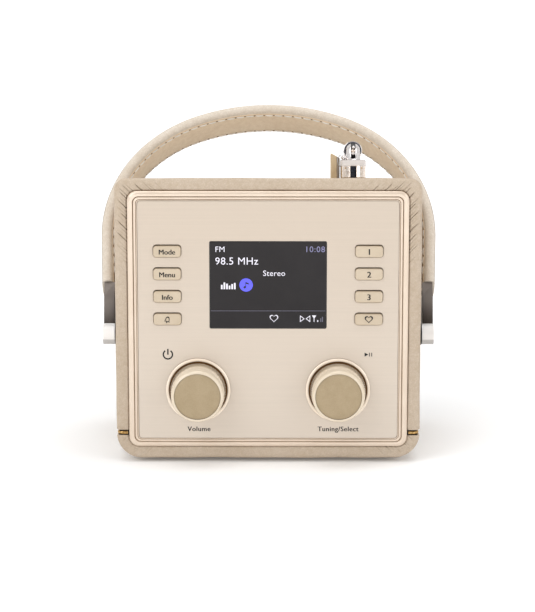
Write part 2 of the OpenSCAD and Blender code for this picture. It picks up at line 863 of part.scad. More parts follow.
// Cheek beside the barrel that the folded aerial lies against
module antenna_rest() {
  color("burlywood") on_top() translate([cheek_x, cheek_front, 0]) intersection() {
    linear_extrude(cheek_h) polygon([[0, 0], [cheek_w, 0], [cheek_w + cheek_flare, cheek_flare * 2],
      [cheek_w + cheek_flare, cheek_len], [0, cheek_len]]);
    translate([0, cheek_len, 0]) rotate([90, 0, 0]) linear_extrude(cheek_len)
      polygon([[0, 0], [2 * cheek_w, 0], [2 * cheek_w, cheek_h - 2 * cheek_slant], [0, cheek_h]]);
  }
}

// Swivelling barrel with its collar and a slotted post
module antenna_fork() {
  color("silver") on_top() difference() {
    union() {
      translate([0, 0, barrel_z]) cylinder(r = barrel_r, h = barrel_h);
      translate([0, 0, barrel_z + barrel_h]) cylinder(r = barrel_r + 0.1, h = collar_h);
      translate([0, 0, barrel_z]) cylinder(r = post_r, h = hinge_z - barrel_z);
      translate([0, 0, hinge_z]) sphere(r = post_r);
      translate([0, 0, 0.5 - stem_len]) cylinder(r = stem_r, h = stem_len + 1);
    }
    block([-slot_w / 2, -10, barrel_z + barrel_h + collar_h + 0.6], [slot_w / 2, 10, 30]);
    rod_x(pin_r, -10, 10, 0, hinge_z);
  }
}

module antenna_pin() {
  color("silver") on_top() rod_x(pin_r, -post_r + 0.2, post_r - 0.2, 0, hinge_z);
}

// Tongue in the slot and the ferrule that holds the outermost tube
module antenna_knuckle() {
  color("silver") on_top() translate([0, 0, hinge_z]) difference() {
    union() {
      rod_x(3.4, 0.1 - slot_w / 2, slot_w / 2 - 0.1);
      block([0.1 - slot_w / 2, 0, -2], [slot_w / 2 - 0.1, ferrule_y + 1, 2]);
      rod_y(ferrule_r, ferrule_y, ferrule_y + ferrule_len);
    }
    rod_x(pin_r + pin_run, -10, 10);
    rod_y(tube_rs[0], ferrule_y + 1.5, ferrule_y + ferrule_len + 1);
  }
}

// Tube number i of the rod, open at its far end
module tube(i) {
  from = ferrule_y + 1.5 + i * 0.8;
  to = ferrule_y + ferrule_len + tube_len + i * tube_step;
  color("silver") on_top() translate([0, 0, hinge_z]) difference() {
    rod_y(tube_rs[i], from, to);
    rod_y(tube_rs[i] - tube_wall, from + 0.6, to + 1);
  }
}

module antenna_tube_1() tube(0);
module antenna_tube_2() tube(1);
module antenna_tube_3() tube(2);

// Solid innermost rod with its cap
module antenna_tip_rod() {
  from = ferrule_y + 1.5 + 3 * 0.8;
  to = ferrule_y + ferrule_len + tube_len + 3 * tube_step;
  color("silver") on_top() translate([0, 0, hinge_z]) union() {
    rod_y(tube_rs[3], from, to);
    rod_y(tip_r, to - 0.5, to + tip_len);
  }
}

// --------------------------------------------------------------- assembly

cabinet_shell();
upper_leather_wrap();
lower_leather_wrap();
seam_trims();
front_bezel();
front_panel();
display_window();
display_module();
front_circuit_board();
tact_switches();
volume_encoder();
tuning_encoder();
knob_collars();
main_circuit_board();
speaker_basket();
speaker_cone();
speaker_magnet();
speaker_grille();
back_panel();
case_screws();
battery_cells();
battery_contacts();
headphone_socket();
power_socket();
base_pad();
side_plates();
pivot_bolts();
pivot_washers();
antenna_base();
antenna_rest();
battery_door();
handle_leather();
handle_lining();
handle_core();
left_handle_bracket();
right_handle_bracket();
strap_screws();
volume_rotor();
volume_shaft();
volume_knob();
volume_knob_cap();
tuning_rotor();
tuning_shaft();
tuning_knob();
tuning_knob_cap();
antenna_fork();
antenna_pin();
antenna_knuckle();
antenna_tube_1();
antenna_tube_2();
antenna_tube_3();
antenna_tip_rod();
mode_button();
menu_button();
info_button();
alarm_button();
preset_1_button();
preset_2_button();
preset_3_button();
favourite_button();
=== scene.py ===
"""Looks of the leather portable radio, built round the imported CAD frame."""
import json
import math

import bmesh
import bpy
import numpy as np
from mathutils import Matrix, Vector


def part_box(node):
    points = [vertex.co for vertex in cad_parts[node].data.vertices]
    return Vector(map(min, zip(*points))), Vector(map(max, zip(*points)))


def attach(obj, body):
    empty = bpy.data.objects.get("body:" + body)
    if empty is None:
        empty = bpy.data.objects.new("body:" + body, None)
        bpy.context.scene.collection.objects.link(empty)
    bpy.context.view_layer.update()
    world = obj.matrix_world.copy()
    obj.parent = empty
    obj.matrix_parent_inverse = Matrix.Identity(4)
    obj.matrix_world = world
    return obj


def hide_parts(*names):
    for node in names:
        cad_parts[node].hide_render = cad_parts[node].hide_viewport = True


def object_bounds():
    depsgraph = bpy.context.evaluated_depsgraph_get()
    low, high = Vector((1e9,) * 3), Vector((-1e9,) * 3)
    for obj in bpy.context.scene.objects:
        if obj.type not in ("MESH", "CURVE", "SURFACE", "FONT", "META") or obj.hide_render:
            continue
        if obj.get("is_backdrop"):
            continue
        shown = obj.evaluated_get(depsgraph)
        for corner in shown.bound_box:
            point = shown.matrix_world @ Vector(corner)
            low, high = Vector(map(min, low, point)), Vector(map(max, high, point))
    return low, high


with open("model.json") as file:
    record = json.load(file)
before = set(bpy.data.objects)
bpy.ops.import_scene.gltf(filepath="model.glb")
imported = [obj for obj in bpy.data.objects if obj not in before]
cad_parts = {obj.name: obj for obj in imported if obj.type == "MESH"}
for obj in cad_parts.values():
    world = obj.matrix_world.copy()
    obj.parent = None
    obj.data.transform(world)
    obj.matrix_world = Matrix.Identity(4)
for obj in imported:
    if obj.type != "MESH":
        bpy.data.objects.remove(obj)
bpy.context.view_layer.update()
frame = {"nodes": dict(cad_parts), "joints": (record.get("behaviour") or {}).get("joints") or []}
MM = 0.001


def box(node):
    """The lowest and highest corner of a CAD node, in millimetres."""
    low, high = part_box(node)
    return low / MM, high / MM


# ------------------------------------------------------------------ materials

def linear(rgb, gain=1.0):
    """An sRGB colour from 0 to 255 as the linear colour that a shader takes."""
    out = [((c / 255 + 0.055) / 1.055) ** 2.4 if c > 10 else c / 255 / 12.92 for c in rgb]
    return (*[min(1.0, c * gain) for c in out], 1.0)


def feed(tree, socket, value):
    """Links another node's socket into this one, or sets a plain value on it."""
    if isinstance(value, bpy.types.NodeSocket):
        tree.links.new(value, socket)
    else:
        socket.default_value = value


class Look:
    """A procedural material: node() adds a node, and paint(), rough() and relief() wire it."""

    def __init__(self, name, roughness=0.5, **sockets):
        self.material = bpy.data.materials.new(name)
        self.material.use_nodes = True
        self.tree = self.material.node_tree
        self.shader = self.tree.nodes["Principled BSDF"]
        self.place = self.node("ShaderNodeTexCoord").outputs["Object"]
        self.height = None
        self.shader.inputs["Roughness"].default_value = roughness
        for key, value in sockets.items():
            self.shader.inputs[key.replace("_", " ")].default_value = value

    def node(self, kind, values=None, **props):
        made = self.tree.nodes.new(kind)
        for key, value in props.items():
            setattr(made, key, value)
        for key, value in (values or {}).items():
            feed(self.tree, made.inputs[key], value)
        return made

    def ramp(self, value, start=0.0, end=1.0, low=0.0, high=1.0, **props):
        """A value between start and end, as one between low and high."""
        return self.node("ShaderNodeMapRange", {
            "Value": value, "From Min": start, "From Max": end, "To Min": low, "To Max": high},
            **props).outputs["Result"]

    def axes(self, place=None):
        """The X, Y and Z outputs of a place."""
        return self.node("ShaderNodeSeparateXYZ", {"Vector": place or self.place}).outputs

    def stored(self, name):
        """A value that the mesh holds at its vertices."""
        return self.node("ShaderNodeAttribute", attribute_name=name).outputs["Fac"]

    def stretched(self, scale, turn=(0, 0, 0)):
        """The piece's own coordinates, stretched along each axis."""
        return self.node("ShaderNodeMapping", {
            "Vector": self.place, "Scale": scale, "Rotation": turn}).outputs["Vector"]

    def noise(self, scale, detail=2.0, rough=0.5, place=None, low=0.35, high=0.65):
        """Soft noise as a value from 0 to 1; its scale is in features per metre."""
        raw = self.node("ShaderNodeTexNoise", {
            "Vector": place or self.place, "Scale": scale, "Detail": detail, "Roughness": rough})
        return self.ramp(raw.outputs["Fac"], low, high)

    def cells(self, scale, smooth):
        """Rounded pebbles, 1 on top of each and 0 between them."""
        raw = self.node("ShaderNodeTexVoronoi", {
            "Vector": self.place, "Scale": scale, "Smoothness": smooth}, feature="SMOOTH_F1")
        return self.ramp(raw.outputs["Distance"], 0.55, 0.1)

    def mix(self, a, b, factor):
        """Colour a where the factor is 0, colour b where it is 1."""
        made = self.node("ShaderNodeMix", data_type="RGBA")
        for index, value in ((0, factor), (6, a), (7, b)):
            feed(self.tree, made.inputs[index], value)
        return made.outputs[2]

    def maths(self, operation, *values):
        return self.node("ShaderNodeMath", dict(enumerate(values)), operation=operation).outputs[0]

    def total(self, *parts):
        """The sum of (value, share) pairs."""
        out = self.maths("MULTIPLY", *parts[0])
        for value, share in parts[1:]:
            out = self.maths("ADD", out, self.maths("MULTIPLY", value, share))
        return out

    def span(self, axis, start, end):
        """0 at start and 1 at end along one axis of the row frame, in millimetres."""
        return self.ramp(self.axes()[axis], start * MM, end * MM, interpolation_type="SMOOTHSTEP")

    def paint(self, colour):
        self.tree.links.new(colour, self.shader.inputs["Base Color"])
        return self

    def rough(self, value, low, high):
        self.tree.links.new(self.ramp(value, low=low, high=high), self.shader.inputs["Roughness"])
        return self

    def relief(self, height, depth_mm, strength=1.0):
        """A bump of that depth, on top of any earlier one."""
        values = {"Height": height, "Distance": depth_mm * MM, "Strength": strength}
        if self.height is not None:
            values["Normal"] = self.height
        self.height = self.node("ShaderNodeBump", values).outputs["Normal"]
        self.tree.links.new(self.height, self.shader.inputs["Normal"])
        return self

    def done(self):
        return self.material


def leather(name, tone, shade, pebble=1500, depth=0.05, roughness=(0.5, 0.68), gain=1.0,
            shade_creases=False):
    """Pebbled leather: rounded grains, pores between them and slow changes of tone, and painted
    shade where the mesh marks creases, if asked.
    """
    look = Look(name, Specular_IOR_Level=0.35)
    bent = look.noise(420, 3, 0.6)
    grain = look.cells(pebble, 0.7)
    fine = look.noise(5200, 2, 0.6)
    slow = look.noise(38, 3, 0.55, low=0.3, high=0.7)
    dark, pale = linear(shade, gain), linear(tone, gain)
    body = look.mix(dark, pale, look.maths("MULTIPLY_ADD", slow, 0.35, 0.5))
    mottled = look.mix(dark, pale, look.total((slow, 0.4), (bent, 0.6)))
    pored = look.mix(mottled, body, 0.25)
    colour = look.mix(look.mix(pored, linear(shade, gain * 0.8), 0.35), pored, grain)
    # painted shade: the leather turns darker where the mesh marks its creases
    if shade_creases:
        colour = look.mix(colour, linear([c * 0.78 for c in shade], gain), look.stored("crease_shade"))
    look.paint(colour)
    look.rough(fine, *roughness)
    look.relief(bent, depth * 1.6, 0.5).relief(grain, depth, 0.7).relief(fine, depth * 0.4, 0.35)
    return look.done()


def plastic(name, tone, shade=None, roughness=0.4, grain=4200, depth=0.012, gain=1.0,
            groove_shade=None, **sockets):
    """Moulded plastic with a faint moulded grain; the groove colour, if given, is painted shade,
    laid where the mesh marks grooves and gaps.
    """
    look = Look(name, **sockets)
    shade = shade or [c * 0.93 for c in tone]
    colour = look.mix(linear(shade, gain), linear(tone, gain), look.noise(90, 3))
    # painted shade: a darker tone where the mesh marks grooves and gaps
    if groove_shade:
        colour = look.mix(colour, linear(groove_shade), look.stored("groove_shade"))
    look.paint(colour)
    fine = look.noise(grain, 2)
    look.rough(fine, roughness * 0.88, roughness * 1.12)
    return look.relief(fine, depth, 0.4).done()


def metal(name, tone, shade=None, roughness=0.25, along=(1, 1, 1), scale=1500, depth=0.004,
          gain=1.0, **sockets):
    """Metal whose fine marks run along one direction, given by a stretch per axis."""
    look = Look(name, Metallic=1.0, **sockets)
    shade = shade or [c * 0.85 for c in tone]
    marks = look.noise(scale, 3, 0.6, look.stretched(along))
    look.paint(look.mix(linear(shade, gain), linear(tone, gain), marks))
    look.rough(look.noise(240, 3, place=look.stretched(along)), roughness * 0.75, roughness * 1.3)
    return look.relief(marks, depth, 0.35).done()


def brushed(name, tone, shade, top, bottom, gain=1.0):
    """Sheet brushed along X, with painted light: a little lighter towards its foot."""
    look = Look(name, Metallic=0.35, Specular_IOR_Level=0.5)
    long_marks = look.noise(9, 4, 0.75, look.stretched((0.55, 1, 120)), low=0.25, high=0.75)
    fine_marks = look.noise(60, 3, 0.7, look.stretched((0.5, 1, 70)), low=0.25, high=0.75)
    marks = look.total((long_marks, 0.55), (fine_marks, 0.45))
    # painted light: a darker copy of the sheet above and a lighter one below, blended from top to
    # foot
    upper = look.mix(linear([c * 0.955 for c in shade], gain), linear(shade, gain), marks)
    lower = look.mix(linear([c * 0.955 for c in tone], gain), linear(tone, gain), marks)
    look.paint(look.mix(upper, lower, look.span(2, top, bottom)))
    look.rough(marks, 0.36, 0.5)
    return look.relief(marks, 0.012, 0.5).done()


def speckled(name, tone, shade, centre, gain=1.0):
    """Fine turned face of a knob: speckle with soft rays from its middle."""
    look = Look(name, Metallic=0.3)
    offset = look.node("ShaderNodeVectorMath", {0: look.place, 1: [c * MM for c in centre]},
                       operation="SUBTRACT").outputs[0]
    parts = look.axes(offset)
    angle = look.maths("ARCTAN2", parts["Z"], parts["X"])
    rays = look.node("ShaderNodeTexNoise", {"W": angle, "Scale": 3.2, "Detail": 4.0},
                     noise_dimensions="1D").outputs["Fac"]
    speck = look.noise(2100, 3, 0.8, low=0.4, high=0.6)
    slow = look.noise(160, 2, 0.6)
    mixed = look.total((speck, 0.55), (rays, 0.35), (slow, 0.3))
    look.paint(look.mix(linear(shade, gain), linear(tone, gain), mixed))
    look.rough(speck, 0.42, 0.62)
    return look.relief(speck, 0.015, 0.5).done()


def keyed(name, boss, arm, dark, pivot):
    """Bracket metal: the boss round the pivot painted with a bright highlight on top and painted
    shade below it, and a darker, satin arm.
    """
    look = Look(name, Specular_IOR_Level=0.4)
    parts = look.axes()
    rise = look.maths("SUBTRACT", parts["Z"], pivot.z * MM)
    back = look.maths("SUBTRACT", parts["Y"], pivot.y * MM)
    away = look.maths("SQRT", look.maths("ADD", look.maths("MULTIPLY", rise, rise),
                                         look.maths("MULTIPLY", back, back)))
    on_arm = look.ramp(away, 5.5 * MM, 5.8 * MM)
    up = look.ramp(away, 5.8 * MM, 17 * MM)
    marks = look.noise(1400, 3, 0.6, look.stretched((1, 1, 0.1)))
    tone = look.mix(linear(dark), linear(arm), up)
    tone = look.mix(tone, linear([c * 0.96 for c in arm]), look.maths("MULTIPLY", marks, 0.15))
    # painted highlight and shade: the boss is near white above and darker below
    boss_highlight_and_shade = look.mix(linear(boss), linear([c * 0.8 for c in boss]), look.span(
        2, pivot.z - 1.5, pivot.z - 2.5))
    look.paint(look.mix(boss_highlight_and_shade, tone, on_arm))
    look.rough(marks, 0.42, 0.5)
    look.tree.links.new(look.ramp(on_arm, low=0.05, high=0.45), look.shader.inputs["Metallic"])
    return look.done()


def glowing(name, tone, strength):
    """A lit part of the display, with a faint pixel pattern."""
    look = Look(name, roughness=0.5)
    dots = look.cells(4200, 0.3)
    colour = look.mix(linear([c * 0.92 for c in tone]), linear(tone), dots)
    look.paint(colour)
    look.tree.links.new(colour, look.shader.inputs["Emission Color"])
    look.shader.inputs["Emission Strength"].default_value = strength
    return look.done()


# ------------------------------------------------------------------- meshes

def edited(mesh, change):
    """A copy of a mesh after change(), which gets it as a bmesh."""
    made = bmesh.new()
    made.from_mesh(mesh)
    change(made)
    out = bpy.data.meshes.new("mesh")
    made.to_mesh(out)
    made.free()
    return out


def merged(made, distance=2e-7):
    """Merges points that lie in the same place."""
    bmesh.ops.remove_doubles(made, verts=made.verts, dist=distance)


def cleaned(made):
    """Merges doubles and turns the faces outward."""
    merged(made, 1e-7)
    bmesh.ops.recalc_face_normals(made, faces=made.faces)


def mesh_from(points, faces):
    """A mesh from points in millimetres, with its doubles merged and its faces outward."""
    mesh = bpy.data.meshes.new("mesh")
    mesh.from_pydata([tuple(c * MM for c in p) for p in points], [], faces)
    return edited(mesh, cleaned)


def joined(*meshes):
    """Several meshes as one."""
    made = bmesh.new()
    for mesh in meshes:
        made.from_mesh(mesh)
    out = bpy.data.meshes.new("joined")
    made.to_mesh(out)
    made.free()
    return out


def linked(name, data):
    """A new object in the scene."""
    obj = bpy.data.objects.new(name, data)
    bpy.context.scene.collection.objects.link(obj)
    return obj


def store(mesh, name, values):
    """Keeps a value for each vertex, which a material reads by that name."""
    mesh.attributes.new(name, "FLOAT", "POINT").data.foreach_set("value", values)


def finished(obj):
    """The object's mesh with its modifiers applied."""
    depsgraph = bpy.context.evaluated_depsgraph_get()
    mesh = bpy.data.meshes.new_from_object(obj.evaluated_get(depsgraph))
    obj.modifiers.clear()
    obj.data = mesh
    return obj


def piece(name, mesh, material, body, replaced=(), smooth=40):
    """Puts a mesh in the scene as a piece that rides on a CAD body."""
    obj = linked(name, mesh)
    mesh.name = name
    mesh.materials.clear()
    mesh.materials.append(material)
    mesh.polygons.foreach_set("use_smooth", [True] * len(mesh.polygons))
    mesh.set_sharp_from_angle(angle=math.radians(smooth))
    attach(obj, body)
    if replaced:
        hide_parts(*replaced)
    return obj


def grid(rows, round_rows=False, round_cols=False, caps=False):
    """Faces between rows of equally many points; caps closes the first and the last row."""
    count, width = len(rows), len(rows[0])
    points = [p for row in rows for p in row]
    faces = []
    for i in range(count if round_rows else count - 1):
        for j in range(width if round_cols else width - 1):
            k, m = (i + 1) % count, (j + 1) % width
            faces.append((i * width + j, i * width + m, k * width + m, k * width + j))
    if caps:
        faces += [tuple(range(width)), tuple((count - 1) * width + j for j in range(width))]
    return mesh_from(points, faces)


def rounded(half_w, half_h, r, cx=0.0, cz=0.0, steps=8):
    """Points (x, z) round a rectangle with round corners."""
    out = []
    r = max(r, 0.02)
    for quarter in range(4):
        sx, sz = ((1, 1), (-1, 1), (-1, -1), (1, -1))[quarter]
        for i in range(steps + 1):
            a = math.radians(90 * quarter + 90 * i / steps)
            out.append((cx + sx * (half_w - r) + r * math.cos(a),
                        cz + sz * (half_h - r) + r * math.sin(a)))
    return out


def tower(rings, cx, cz):
    """A closed solid about the middle (cx, cz) from rings (half_w, half_h, r, y)."""
    return grid([[(x, y, z) for x, z in rounded(w, h, r, cx, cz)] for w, h, r, y in rings],
                round_cols=True, caps=True)


def lathe(profile, cx, cz, closed=False, steps=144):
    """A body turned about an axis along Y from (radius, y) pairs; closed makes it a ring."""
    rows = [[(cx + r * math.cos(2 * math.pi * i / steps), y,
              cz + r * math.sin(2 * math.pi * i / steps)) for i in range(steps)]
            for r, y in profile]
    return grid(rows, round_rows=closed, round_cols=True)


def once_round(steps):
    """Angles of equal steps once round."""
    return np.linspace(0, 2 * math.pi, steps + 1)[:-1]


def softened(name, node, material, body, width=0.3, segments=2):
    """A CAD node's shape with its edges rounded, in the place of the node."""
    mesh = edited(frame["nodes"][node].data, merged)
    obj = piece(name, mesh, material, body, (node,), 35)
    bevel = obj.modifiers.new("round", "BEVEL")
    bevel.width = width * MM
    bevel.segments = segments
    bevel.limit_method = "ANGLE"
    bevel.angle_limit = math.radians(30)
    bevel.harden_normals = True
    bevel.use_clamp_overlap = True
    return finished(obj)


INK_T = 0.04  # thickness of what is printed or lit


def flat_shape(loops, y):
    """Thin filled shape on a front face from closed loops of (x, z); inner loops are holes."""
    curve = bpy.data.curves.new("shape", "CURVE")
    curve.dimensions, curve.fill_mode, curve.extrude = "2D", "BOTH", INK_T / 2 * MM
    for loop in loops:
        spline = curve.splines.new("POLY")
        spline.points.add(len(loop) - 1)
        for point, (x, z) in zip(spline.points, loop):
            point.co = (x * MM, z * MM, 0, 1)
        spline.use_cyclic_u = True
    return standing(curve, y)


def standing(curve, y):
    """A flat curve or text as a mesh that stands in front of y and faces -Y."""
    holder = linked("holder", curve)
    bpy.context.view_layer.update()
    depsgraph = bpy.context.evaluated_depsgraph_get()
    mesh = bpy.data.meshes.new_from_object(holder.evaluated_get(depsgraph))
    bpy.data.objects.remove(holder)
    mesh.transform(Matrix.Translation((0, (y - INK_T / 2) * MM, 0))
                   @ Matrix.Rotation(math.radians(90), 4, "X"))
    return edited(mesh, cleaned)


CAP_SHARE = 0.69  # height of a capital as a share of the text size


def words(text, x, z, capital, y, align="CENTER", spacing=1.0, weight=0.0):
    """Lettering with capitals of that height, its middle or edge at x and its middle at z."""
    curve = bpy.data.curves.new("words", "FONT")
    curve.body, curve.align_x = text, align
    curve.size = capital / CAP_SHARE * MM
    curve.extrude = INK_T / 2 * MM
    curve.space_character = spacing
    curve.resolution_u = 3
    mesh = standing(curve, y)
    mesh.transform(Matrix.Translation(((x - weight) * MM, 0, (z - capital / 2) * MM)))
    if weight:
        second = mesh.copy()
        second.transform(Matrix.Translation((2 * weight * MM, -0.01 * MM, 0)))
        mesh = joined(mesh, second)
    return mesh


def circle(cx, cz, r, steps=32, start=0.0, end=360.0):
    return [(cx + r * math.cos(math.radians(start + (end - start) * i / steps)),
             cz + r * math.sin(math.radians(start + (end - start) * i / steps)))
            for i in range(steps + (1 if end - start < 360 else 0))]


def arc_band(cx, cz, r, width, start, end):
    """A stroke of that width along an arc."""
    return (circle(cx, cz, r + width / 2, 28, start, end)
            + circle(cx, cz, r - width / 2, 28, start, end)[::-1])


def bar(x0, z0, x1, z1):
    return [(x0, z0), (x1, z0), (x1, z1), (x0, z1)]


def heart(cx, cz, size, steps=48):
    """A heart of that width."""
    out = []
    for i in range(steps):
        t = 2 * math.pi * i / steps
        out.append((cx + size / 2 * math.sin(t) ** 3,
                    cz + size / 32 * (13 * math.cos(t) - 5 * math.cos(2 * t)
                                      - 2 * math.cos(3 * t) - math.cos(4 * t) + 2.5)))
    return out


def scaled(loop, cx, cz, share):
    return [(cx + (x - cx) * share, cz + (z - cz) * share) for x, z in loop]


# ------------------------------------------------------------- the palette

LEATHER = leather("leather_case", (214, 198, 179), (190, 170, 146), gain=0.88,
                  shade_creases=True)
STRAP = leather("leather_strap", (246, 236, 222), (222, 206, 186), pebble=1200, depth=0.07,
                gain=0.82)
LINING = leather("lining_suede", (228, 211, 186), (208, 186, 158), pebble=3600, depth=0.02,
                 roughness=(0.7, 0.85), gain=1.15)
THREAD = plastic("stitch_thread", (240, 234, 224), roughness=0.75, grain=9000, depth=0.05)
# painted shade: the needle holes are dark brown
HOLE_SHADE = plastic("stitch_hole_shade", (96, 72, 48), roughness=0.9)
SHELL = plastic("cabinet_black", (44, 36, 30), roughness=0.6)
BRASS = metal("seam_brass", (206, 170, 112), (158, 122, 72), roughness=0.3, scale=900)
FRAME = plastic("champagne_frame", (228, 210, 190), (222, 203, 182), roughness=0.2, depth=0.004,
                gain=0.93, groove_shade=(134, 98, 64), Metallic=0.2, Coat_Weight=0.6,
                Coat_Roughness=0.06)
PANEL = brushed("brushed_panel", (226, 213, 198), (216, 201, 184), 133, 12, gain=0.87)
GLASS = plastic("window_glass", (40, 37, 38), (37, 34, 35), roughness=0.24, depth=0.002,
                Specular_IOR_Level=0.2)
GLASS_EDGE = plastic("window_border", (8, 8, 9), roughness=0.3, depth=0.002)
PRINT = plastic("printed_ink", (14, 11, 14), roughness=0.7)
CAPS = plastic("button_cap", (220, 202, 176), (213, 194, 166), roughness=0.34, depth=0.006,
               gain=0.78, Coat_Weight=0.2)
KNOB = plastic("knob_cream", (240, 224, 200), (234, 217, 190), roughness=0.2, depth=0.003,
               gain=0.82, groove_shade=(120, 84, 52), Coat_Weight=0.6, Coat_Roughness=0.08)
COLLAR = plastic("collar_satin", (244, 230, 212), (236, 220, 200), roughness=0.22, grain=2400,
                 depth=0.004, groove_shade=(122, 88, 56), Metallic=0.15, Coat_Weight=0.5,
                 Coat_Roughness=0.1)
CHROME = metal("aerial_chrome", (236, 232, 230), (206, 200, 198), roughness=0.09, scale=800)
CHROME_WARM = metal("barrel_chrome", (240, 228, 216), (214, 198, 184), roughness=0.14, scale=800)
STEEL = metal("steel", (186, 184, 182), roughness=0.32)
BLACK = plastic("black_fitting", (24, 23, 24), roughness=0.38, grain=2600, depth=0.02)
RUBBER = plastic("pad_rubber", (34, 33, 33), roughness=0.75, grain=3000, depth=0.05)
CHEEK = plastic("cheek_beige", (206, 184, 150), (190, 166, 130), roughness=0.34, depth=0.01,
                groove_shade=(112, 82, 54))
COLLAR_WHITE = plastic("aerial_collar", (226, 220, 216), roughness=0.2, depth=0.004)
CORE = metal("aerial_core", (84, 88, 98), (52, 54, 62), roughness=0.3, scale=900)
BACK = plastic("back_plastic", (58, 53, 49), (50, 46, 43), roughness=0.5, grain=2600, depth=0.05)
BOARD = plastic("circuit_board", (28, 92, 60), (22, 74, 48), roughness=0.4, grain=700, depth=0.05)
GRILLE = metal("grille_steel", (92, 90, 88), (70, 68, 66), roughness=0.4)
PAPER = plastic("cone_paper", (40, 38, 38), (28, 27, 27), roughness=0.85, grain=900, depth=0.1)
CELL = plastic("cell_jacket", (46, 78, 140), (38, 66, 122), roughness=0.35)
LIT_WHITE = glowing("lit_white", (206, 204, 214), 0.7)
LIT_LILAC = glowing("lit_lilac", (118, 117, 150), 0.6)
LIT_BLUE = glowing("lit_blue", (84, 84, 222), 0.7)
LIT_DIM = glowing("lit_dim", (92, 90, 104), 0.4)


# ---------------------------------------------------------- leather wraps

CASE_LOW, CASE_TOP = box("lower_leather_wrap")[0], box("upper_leather_wrap")[1]
HALF_W, FRONT_Y, BACK_Y = CASE_TOP.x, CASE_LOW.y, CASE_TOP.y
BASE_Z, TOP_Z = CASE_LOW.z, CASE_TOP.z
TOP_SLOPE = math.radians(9.5)  # the top falls towards the back
TOP_R, BOTTOM_R, OPENING_R = 6.5, 13.0, 5.0
RIM = 6.3  # width of the leather that shows round the front frame
SEAM_TOP, SEAM_FOOT = box("upper_leather_wrap")[0].z, box("lower_leather_wrap")[1].z
EDGE_R = 1.9  # rounding of the leather over the front and the back edge
SKIN = 1.45  # thickness of the visible leather
EDGE_ROLL = 0.8  # rounding where the leather turns in at the frame and at the seam


def top_at(y):
    return TOP_Z - (y - FRONT_Y) * math.tan(TOP_SLOPE)


def corner_r(outer, inset):
    """Corner radius of the outline at an inset: concentric at the edge, the opening's inside."""
    if inset <= EDGE_R:
        return outer - inset
    start = outer - EDGE_R
    return start + (OPENING_R - start) * min(1.0, (inset - EDGE_R) / (RIM - EDGE_R))


def outline(inset, y, upper):
    """Dense line (x, z) along one wrap's outline, from its right end to its left end."""
    if upper:
        r, z_end, z_arc = corner_r(TOP_R, inset), SEAM_TOP, top_at(y) - inset
    else:
        r, z_end, z_arc = corner_r(BOTTOM_R, inset), SEAM_FOOT, BASE_Z + inset
    half, sign = HALF_W - inset, 1 if upper else -1
    centre_z = z_arc - sign * r
    right = []
    if (centre_z - z_end) * sign > 0:
        right.append((half, z_end))
        first = 0.0
    else:
        first = math.asin(min(1.0, (z_end - centre_z) * sign / r))
    for i in range(61):
        a = first + (math.pi / 2 - first) * i / 60
        right.append((half - r + r * math.cos(a), centre_z + sign * r * math.sin(a)))
    return np.array(right + [(-x, z) for x, z in reversed(right)])


def along(line, shares):
    """Points of a line at shares of its length."""
    steps = np.concatenate([[0], np.cumsum(np.hypot(*np.diff(line, axis=0).T))])
    at = np.asarray(shares) * steps[-1]
    return np.stack([np.interp(at, steps, line[:, 0]), np.interp(at, steps, line[:, 1])], 1)


def rim_section():
    """The wrap's section as (inset, y): front opening, rim, side, back rim, back opening."""
    half = [(RIM + 0.05, FRONT_Y + 1.5)]
    half += [(RIM - EDGE_ROLL + EDGE_ROLL * math.cos(a),
              FRONT_Y + EDGE_ROLL - EDGE_ROLL * math.sin(a)) for a in np.radians([0, 25, 50, 75])]
    half += [(d, FRONT_Y) for d in np.linspace(RIM - EDGE_ROLL, EDGE_R, 22)]
    half += [(EDGE_R - EDGE_R * math.sin(a), FRONT_Y + EDGE_R - EDGE_R * math.cos(a))
             for a in np.radians([15, 30, 45, 60, 75, 90])]
    back = [(d, BACK_Y + FRONT_Y - y) for d, y in reversed(half)]
    sides = [(0.0, y) for y in np.linspace(FRONT_Y + EDGE_R + 4, BACK_Y - EDGE_R - 4, 12)]
    return half + sides + back


SLANT = 0.7071  # turns x plus z, or z less x, into a distance


def creases(across, from_corner, inset, spacing, seed):
    """Depth from 0 to 1 of parallel pulled creases; across is measured square to them."""
    wander = 2.2 * np.sin(across * 0.43 + seed) + 1.1 * np.sin(across * 1.1 + 2 * seed)
    length = 0.5 + 0.5 * np.sin(from_corner * 1.9 + seed * 3)
    wave = 0.5 + 0.5 * np.cos(2 * np.pi * across / spacing + wander)
    reach = np.clip((inset - 0.9 - 2.4 * length) / 2.0, 0, 1)
    some = 0.55 + 0.45 * np.sin(across * 1.63 + 5 * seed)
    return wave ** 5 * reach * some


def wrap_stations(upper, length, side, arc):
    """Places along the outline, close together where creases are, and how far each is rolled in."""
    first, last, step = (side - 62, side + arc + 34, 0.26) if upper else (1.0, arc + 30, 0.3)
    fine = [(first, last, step), (length - last, length - first, step)]
    plain_step = 2.5
    stations = list(np.arange(1.0, length - 1.0, plain_step))
    for a, b, step in fine:
        stations = [s for s in stations if not a - step < s < b + step]
        stations += list(np.arange(a, b, step))
    stations = np.array(sorted(stations))
    turn = np.radians([90, 66, 44, 22, 0])
    ends = len(turn)
    stations = np.concatenate([EDGE_ROLL * (1 - np.sin(turn)), stations[stations > EDGE_ROLL + 0.1],
                               length - EDGE_ROLL * (1 - np.sin(turn[::-1]))])
    sunk = np.zeros(len(stations))
    sunk[:ends] = EDGE_ROLL * (1 - np.cos(turn))
    sunk[-ends:] = sunk[:ends][::-1]
    return stations, sunk


def outward_normals(rows):
    """Unit normals of a grid of points, away from its middle."""
    normal = np.cross(np.gradient(rows, axis=1), np.gradient(rows, axis=0))
    normal /= np.maximum(np.linalg.norm(normal, axis=2, keepdims=True), 1e-9)
    middle = rows.mean(axis=(0, 1))
    return normal * np.sign(((rows - middle) * normal).sum(axis=2).mean())


